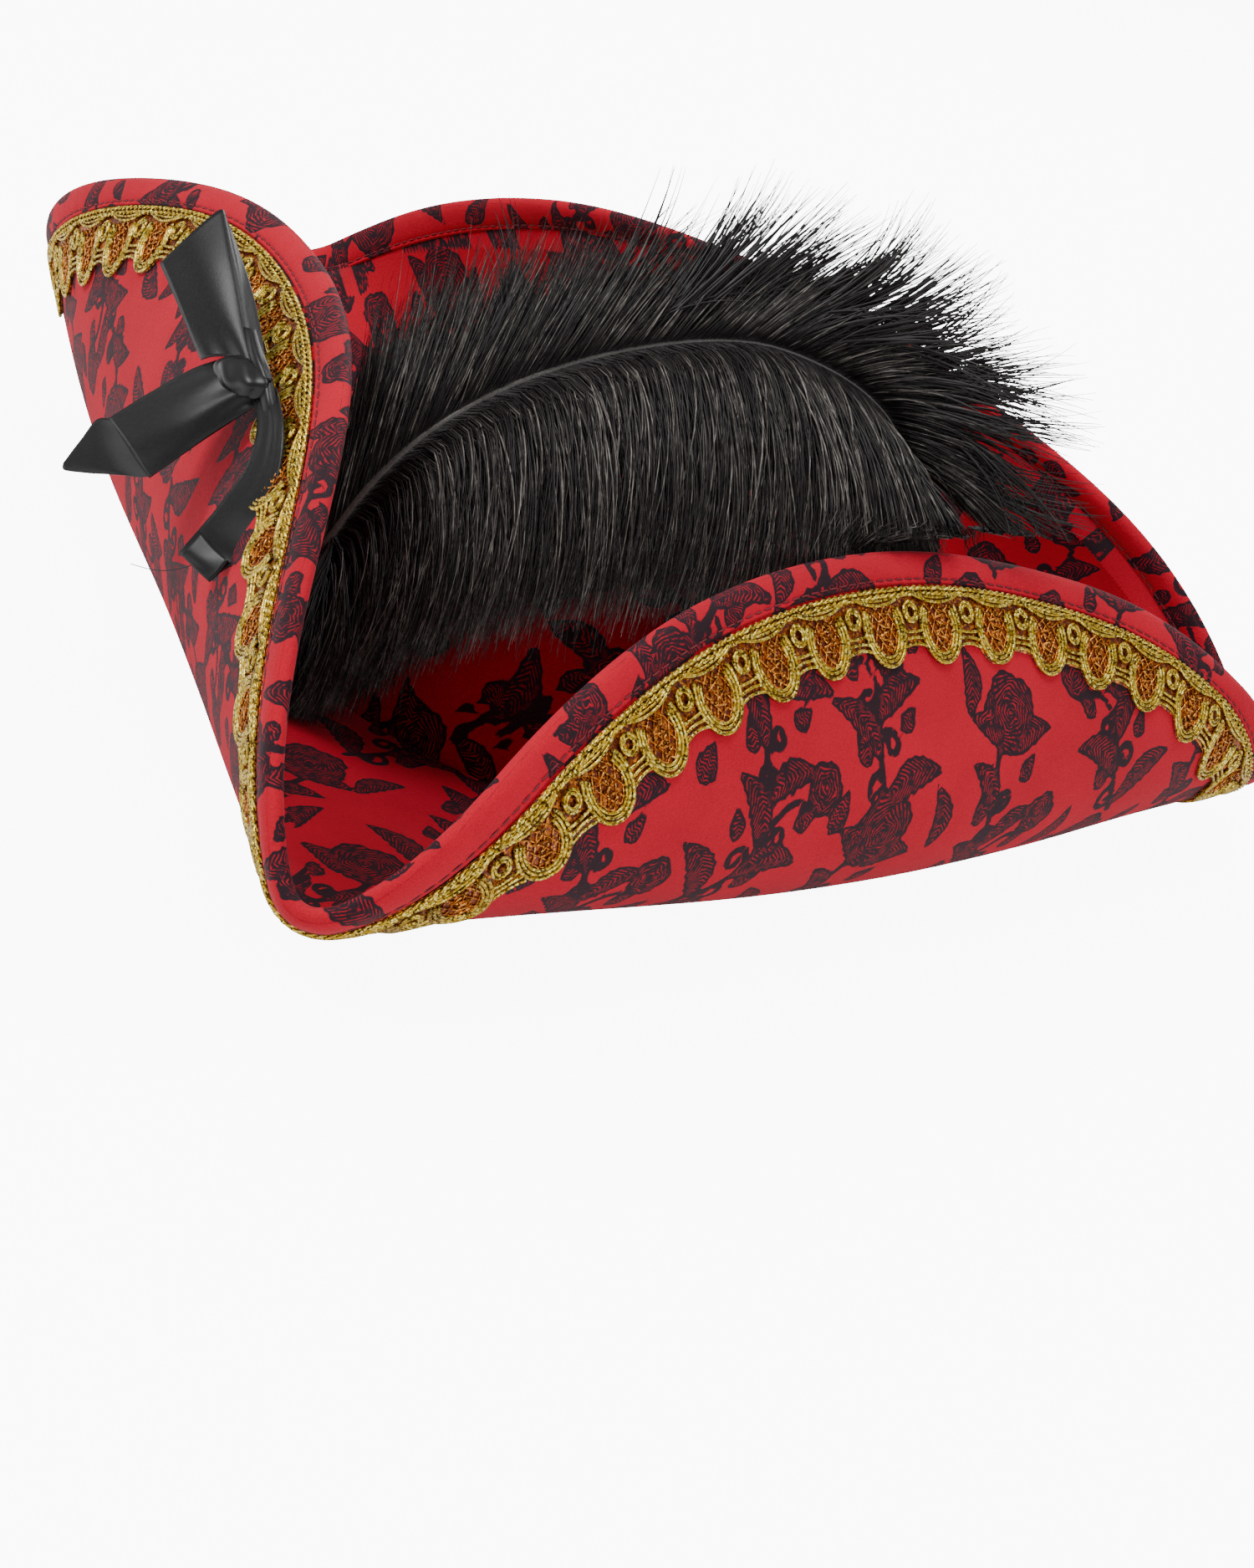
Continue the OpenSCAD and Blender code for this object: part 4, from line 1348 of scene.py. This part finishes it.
def ribbon(name, net, material, body, rows, cols, crease=0.0):
    """A closed sheet about a smoothed net. Creases are gathers that fade from the knot. The
    flat size is the longest line each way."""
    middle = bow_place(smooth_net(net, rows, cols))
    du, dv = np.gradient(middle, axis=0), np.gradient(middle, axis=1)
    normal = unit(np.cross(dv, du))
    u, v = np.meshgrid(np.linspace(0, 1, rows), np.linspace(0, 1, cols), indexing="ij")
    fold = crease * np.exp(-3.2 * u) * np.sin(v * 17 + 3 * u) + 0.16 * np.sin(6 * u + 5 * v)
    middle = middle + fold[..., None] * normal
    front, back = middle + RIBBON_THICK / 2 * normal, middle - RIBBON_THICK / 2 * normal
    points = np.concatenate([front, back[:, ::-1]], 1)
    width = points.shape[1]
    faces = grid_faces(rows, width, wrap_cols=True)
    ends = []
    for r, flip in ((0, False), (rows - 1, True)):
        j = np.arange(cols - 1)
        quad = np.stack([r * width + j, r * width + j + 1,
                         r * width + width - 2 - j, r * width + width - 1 - j], -1)
        ends.append(quad[:, ::-1] if flip else quad)
    faces = np.concatenate([faces] + ends)
    run = np.linalg.norm(np.diff(middle, axis=0), axis=-1).sum(0).max()
    wide = np.linalg.norm(np.diff(middle, axis=1), axis=-1).sum(1).max()
    place = np.stack([np.concatenate([v, v[:, ::-1]], 1) * wide,
                      np.concatenate([u, u], 1) * run], -1) * MM
    piece = make_piece(name, points, faces, material, body, uv=place)
    return piece


# %% [markdown]
# ## Nets of the ribbons
# Each net is a few rows of (right, up, lift) in mm from the knot, counted from the knot to
# the free end. The upper tail stands up, the front tail swings forward and folds under at
# its end, the lower tail hangs, and a narrow side strip runs down beside the knot.

# %% Upper ribbon and side strip
UPPER_TAIL = (
    ((-13.9, 5.0, 3.0), (-7, 6, 4.6), (0, 4, 5.2), (3, 2, 4.0), (4.5, -1, 3.0)),
    ((-17.5, 14, 3.6), (-10.5, 16.5, 6), (-3, 16.5, 5.6), (-0.6, 14, 3.4), (2.5, 12, 1.8)),
    ((-21.5, 23, 3.8), (-14, 28, 6.4), (-6.2, 31, 5.8), (-3.4, 28, 3.0), (-0.5, 25, 1.2)),
    ((-25.1, 31.1, 3.2), (-17.2, 38.5, 5.4), (-8.9, 45.5, 4.2), (-7.2, 43.2, 2.2), (-5.9, 40.9, 1.0)),
)
SIDE_STRIP_TOP = (
    ((-2.4, 14, 5.4), (-1.0, 13.6, 6.2), (0.8, 13, 5.0)),
    ((-1.4, 9, 6.6), (0.5, 8.7, 7.4), (2.5, 8.2, 6.2)),
    ((0.0, 4, 7.4), (2.2, 3.8, 8.4), (4.4, 3.2, 7.0)),
    ((1.0, 0, 7.2), (3.2, -0.3, 8.2), (5.4, -0.8, 6.8)),
)
SIDE_STRIP_FOOT = (
    ((0.6, 1.5, 6.6), (2.9, 1.2, 7.6), (5.1, 0.6, 6.2)),
    ((2.2, -6, 6.4), (4.6, -6.4, 7.2), (7.0, -7, 5.4)),
    ((3.6, -12.5, 5.4), (6.0, -13, 5.2), (8.2, -13.4, 3.6)),
)

# %% Lower ribbon
LOWER_TAIL = (
    ((-1.0, -2, 3.6), (3.0, -2.5, 4.6), (6.8, -3, 4.0)),
    ((1.2, -12, 6.0), (5.0, -13, 7.8), (8.6, -13, 9.0)),
    ((-1.4, -23, 6.6), (3.2, -25, 8.0), (7.4, -25.5, 9.0)),
    ((-7.5, -32.5, 5.8), (-2, -35.5, 6.4), (3.4, -38, 7.0)),
    ((-13.5, -40, 4.0), (-8, -44.5, 3.2), (-2.8, -48, 2.0)),
    ((-18.6, -45.8, 3.4), (-14.5, -50.2, 3.0), (-10.4, -53.8, 2.4)),
)
LOWER_END = (
    ((-14.4, -41.5, 4.2), (-10.4, -45.8, 4.0), (-6.4, -49.5, 3.2)),
    ((-17.4, -45.0, 4.6), (-13.6, -49.6, 4.4), (-9.6, -53.2, 3.6)),
    ((-19.8, -47.4, 4.2), (-15.6, -51.6, 4.0), (-11.6, -55.2, 3.2)),
)

# %% Front ribbon
FRONT_TAIL = (
    ((-8, 5.5, 3), (-2, 2.5, 5.2), (3, -1, 5.0), (3.5, -6, 3)),
    ((-16, 3.0, 3.6), (-11, -2.5, 6.6), (-8, -8, 5.8), (-6, -12, 3)),
    ((-27, -3.5, 4.6), (-22, -9.5, 7.4), (-18.5, -15, 6.6), (-16.5, -19, 4)),
    ((-38.8, -10.9, 5.6), (-34.8, -16.5, 7), (-31.2, -22, 6), (-27.9, -27, 4.4)),
)
FRONT_END = (
    ((-38.2, -10.8, 5.0), (-34.3, -16.4, 6.2), (-30.8, -21.8, 5.2), (-27.6, -26.6, 3.8)),
    ((-42.3, -11.2, 3.4), (-41.0, -16.8, 3.4), (-37, -22.4, 3.2), (-31, -26.8, 3.0)),
    ((-46.3, -16.6, 2.6), (-45.6, -20.4, 2.6), (-43, -23.8, 2.6), (-35.6, -26.2, 2.6)),
    ((-51.2, -23.0, 2.4), (-51.5, -24.1, 2.4), (-50.5, -25.0, 2.4), (-44.0, -25.8, 2.4)),
)


# %% Knot
def knot_piece(material):
    """The knot: an 8.0 x 5.4 x 4.6 mm ellipsoid whose size swells by two sines, as gathers
    that run across it, turned -24 degrees on the view plane."""
    around, down = 64, 36
    a = np.arange(around)[:, None] * 2 * np.pi / around
    b = np.linspace(0.04, np.pi - 0.04, down)[None, :]
    swell = 1 + 0.05 * np.sin(7 * a + 2.5 * b) * np.sin(b) + 0.03 * np.sin(3 * a - 5 * b)
    x, y = 8.0 * swell * np.sin(b) * np.cos(a), 5.4 * swell * np.cos(b)
    z = 4.6 * swell * np.sin(b) * np.sin(a)
    lean = math.radians(-24)
    net = np.stack([math.cos(lean) * x - math.sin(lean) * y - 2.6,
                    math.sin(lean) * x + math.cos(lean) * y + 0.5, z + 5.2], -1)
    faces = grid_faces(around, down, wrap_rows=True)
    points = bow_place(net)
    poles = points.mean(0)[[0, -1]]
    count = around * down
    here = np.arange(around) * down
    there = np.roll(here, -1)
    fans = [np.stack([here, there, np.full(around, count)], -1),
            np.stack([there + down - 1, here + down - 1, np.full(around, count + 1)], -1)]
    tris = np.concatenate([faces[:, [0, 1, 2]], faces[:, [0, 2, 3]]] + fans)
    points = np.concatenate([points.reshape(-1, 3), poles])
    piece = make_piece("bow_knot_satin", points, tris[:, ::-1], material)
    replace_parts(piece, "bow_knot")


# %% Satin
def satin_material():
    """Satin: fine threads along the ribbon in the bump and in a faint change of colour, with a
    soft gloss from a low roughness, over almost black cloth."""
    material, tree, shader = new_material("satin_black")
    stretch = tree.nodes.new("ShaderNodeMapping")
    stretch.inputs["Scale"].default_value = (4200, 500, 1)
    tree.links.new(coordinate(tree, "UV"), stretch.inputs["Vector"])
    threads = noise(tree, stretch.outputs["Vector"], 1.0, 2, 0.6)
    shown = ramp(tree, threads, 0.3, 0.7)
    color = mix_color(tree, shown, (0.003, 0.003, 0.0035), (0.010, 0.010, 0.011))
    tree.links.new(color, shader.inputs["Base Color"])
    shader.inputs["Roughness"].default_value = 0.36
    shader.inputs["Specular IOR Level"].default_value = 0.32
    add_bump(tree, threads, 0.3, 0.0001)
    return material


# %% Tie the bow
satin = satin_material()
upper = ribbon("bow_upper_ribbon", UPPER_TAIL, satin, "upper_tail", 40, 34, crease=0.7)
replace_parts(upper, "bow_upper_tail")
front = ribbon("bow_front_ribbon", FRONT_TAIL, satin, "front_tail", 40, 26, crease=0.9)
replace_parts(front, "bow_front_tail")
ribbon("bow_front_end", FRONT_END, satin, "front_tail", 22, 20)
lower = ribbon("bow_lower_ribbon", LOWER_TAIL, satin, "lower_tail", 44, 14, crease=0.3)
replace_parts(lower, "bow_lower_tail")
ribbon("bow_lower_end", LOWER_END, satin, "lower_tail", 12, 12)
ribbon("bow_side_strip_top", SIDE_STRIP_TOP, satin, "upper_tail", 16, 10)
ribbon("bow_side_strip_foot", SIDE_STRIP_FOOT, satin, "lower_tail", 16, 10)
knot_piece(satin)
t = np.linspace(0, 1, 16)
thread = bow_place(np.stack([-16 - 17 * t, -50.5 - 1.6 * np.sin(3.3 * t), 3.6 + 0.5 * t], -1))[None]
points, faces = capped_tubes(thread, np.full((1, 16), 0.14), 5)
make_piece("bow_loose_thread", points, faces, thread_black, "lower_tail")

# %% [markdown]
# ## Small parts kept from the frame
# The patch and stitches that hold the quill, the stitches behind the bow, the edge wire
# and the blank label keep their own shape and only take a finish.

# %% Finishes for frame parts
def finish_node(node, material):
    """Give a frame part one material."""
    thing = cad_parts[node]
    thing.data.materials.clear()
    thing.data.materials.append(material)


finish_node("brim_edge_wire", wire_steel)
finish_node("quill_patch", plain("patch_red", RED, 0.9, 1400))
finish_node("quill_stitches", thread_black)
finish_node("bow_stitches", thread_black)
finish_node("care_label", plain("label_white", (0.78, 0.77, 0.74), 0.7, 1600, contrast=0.06))
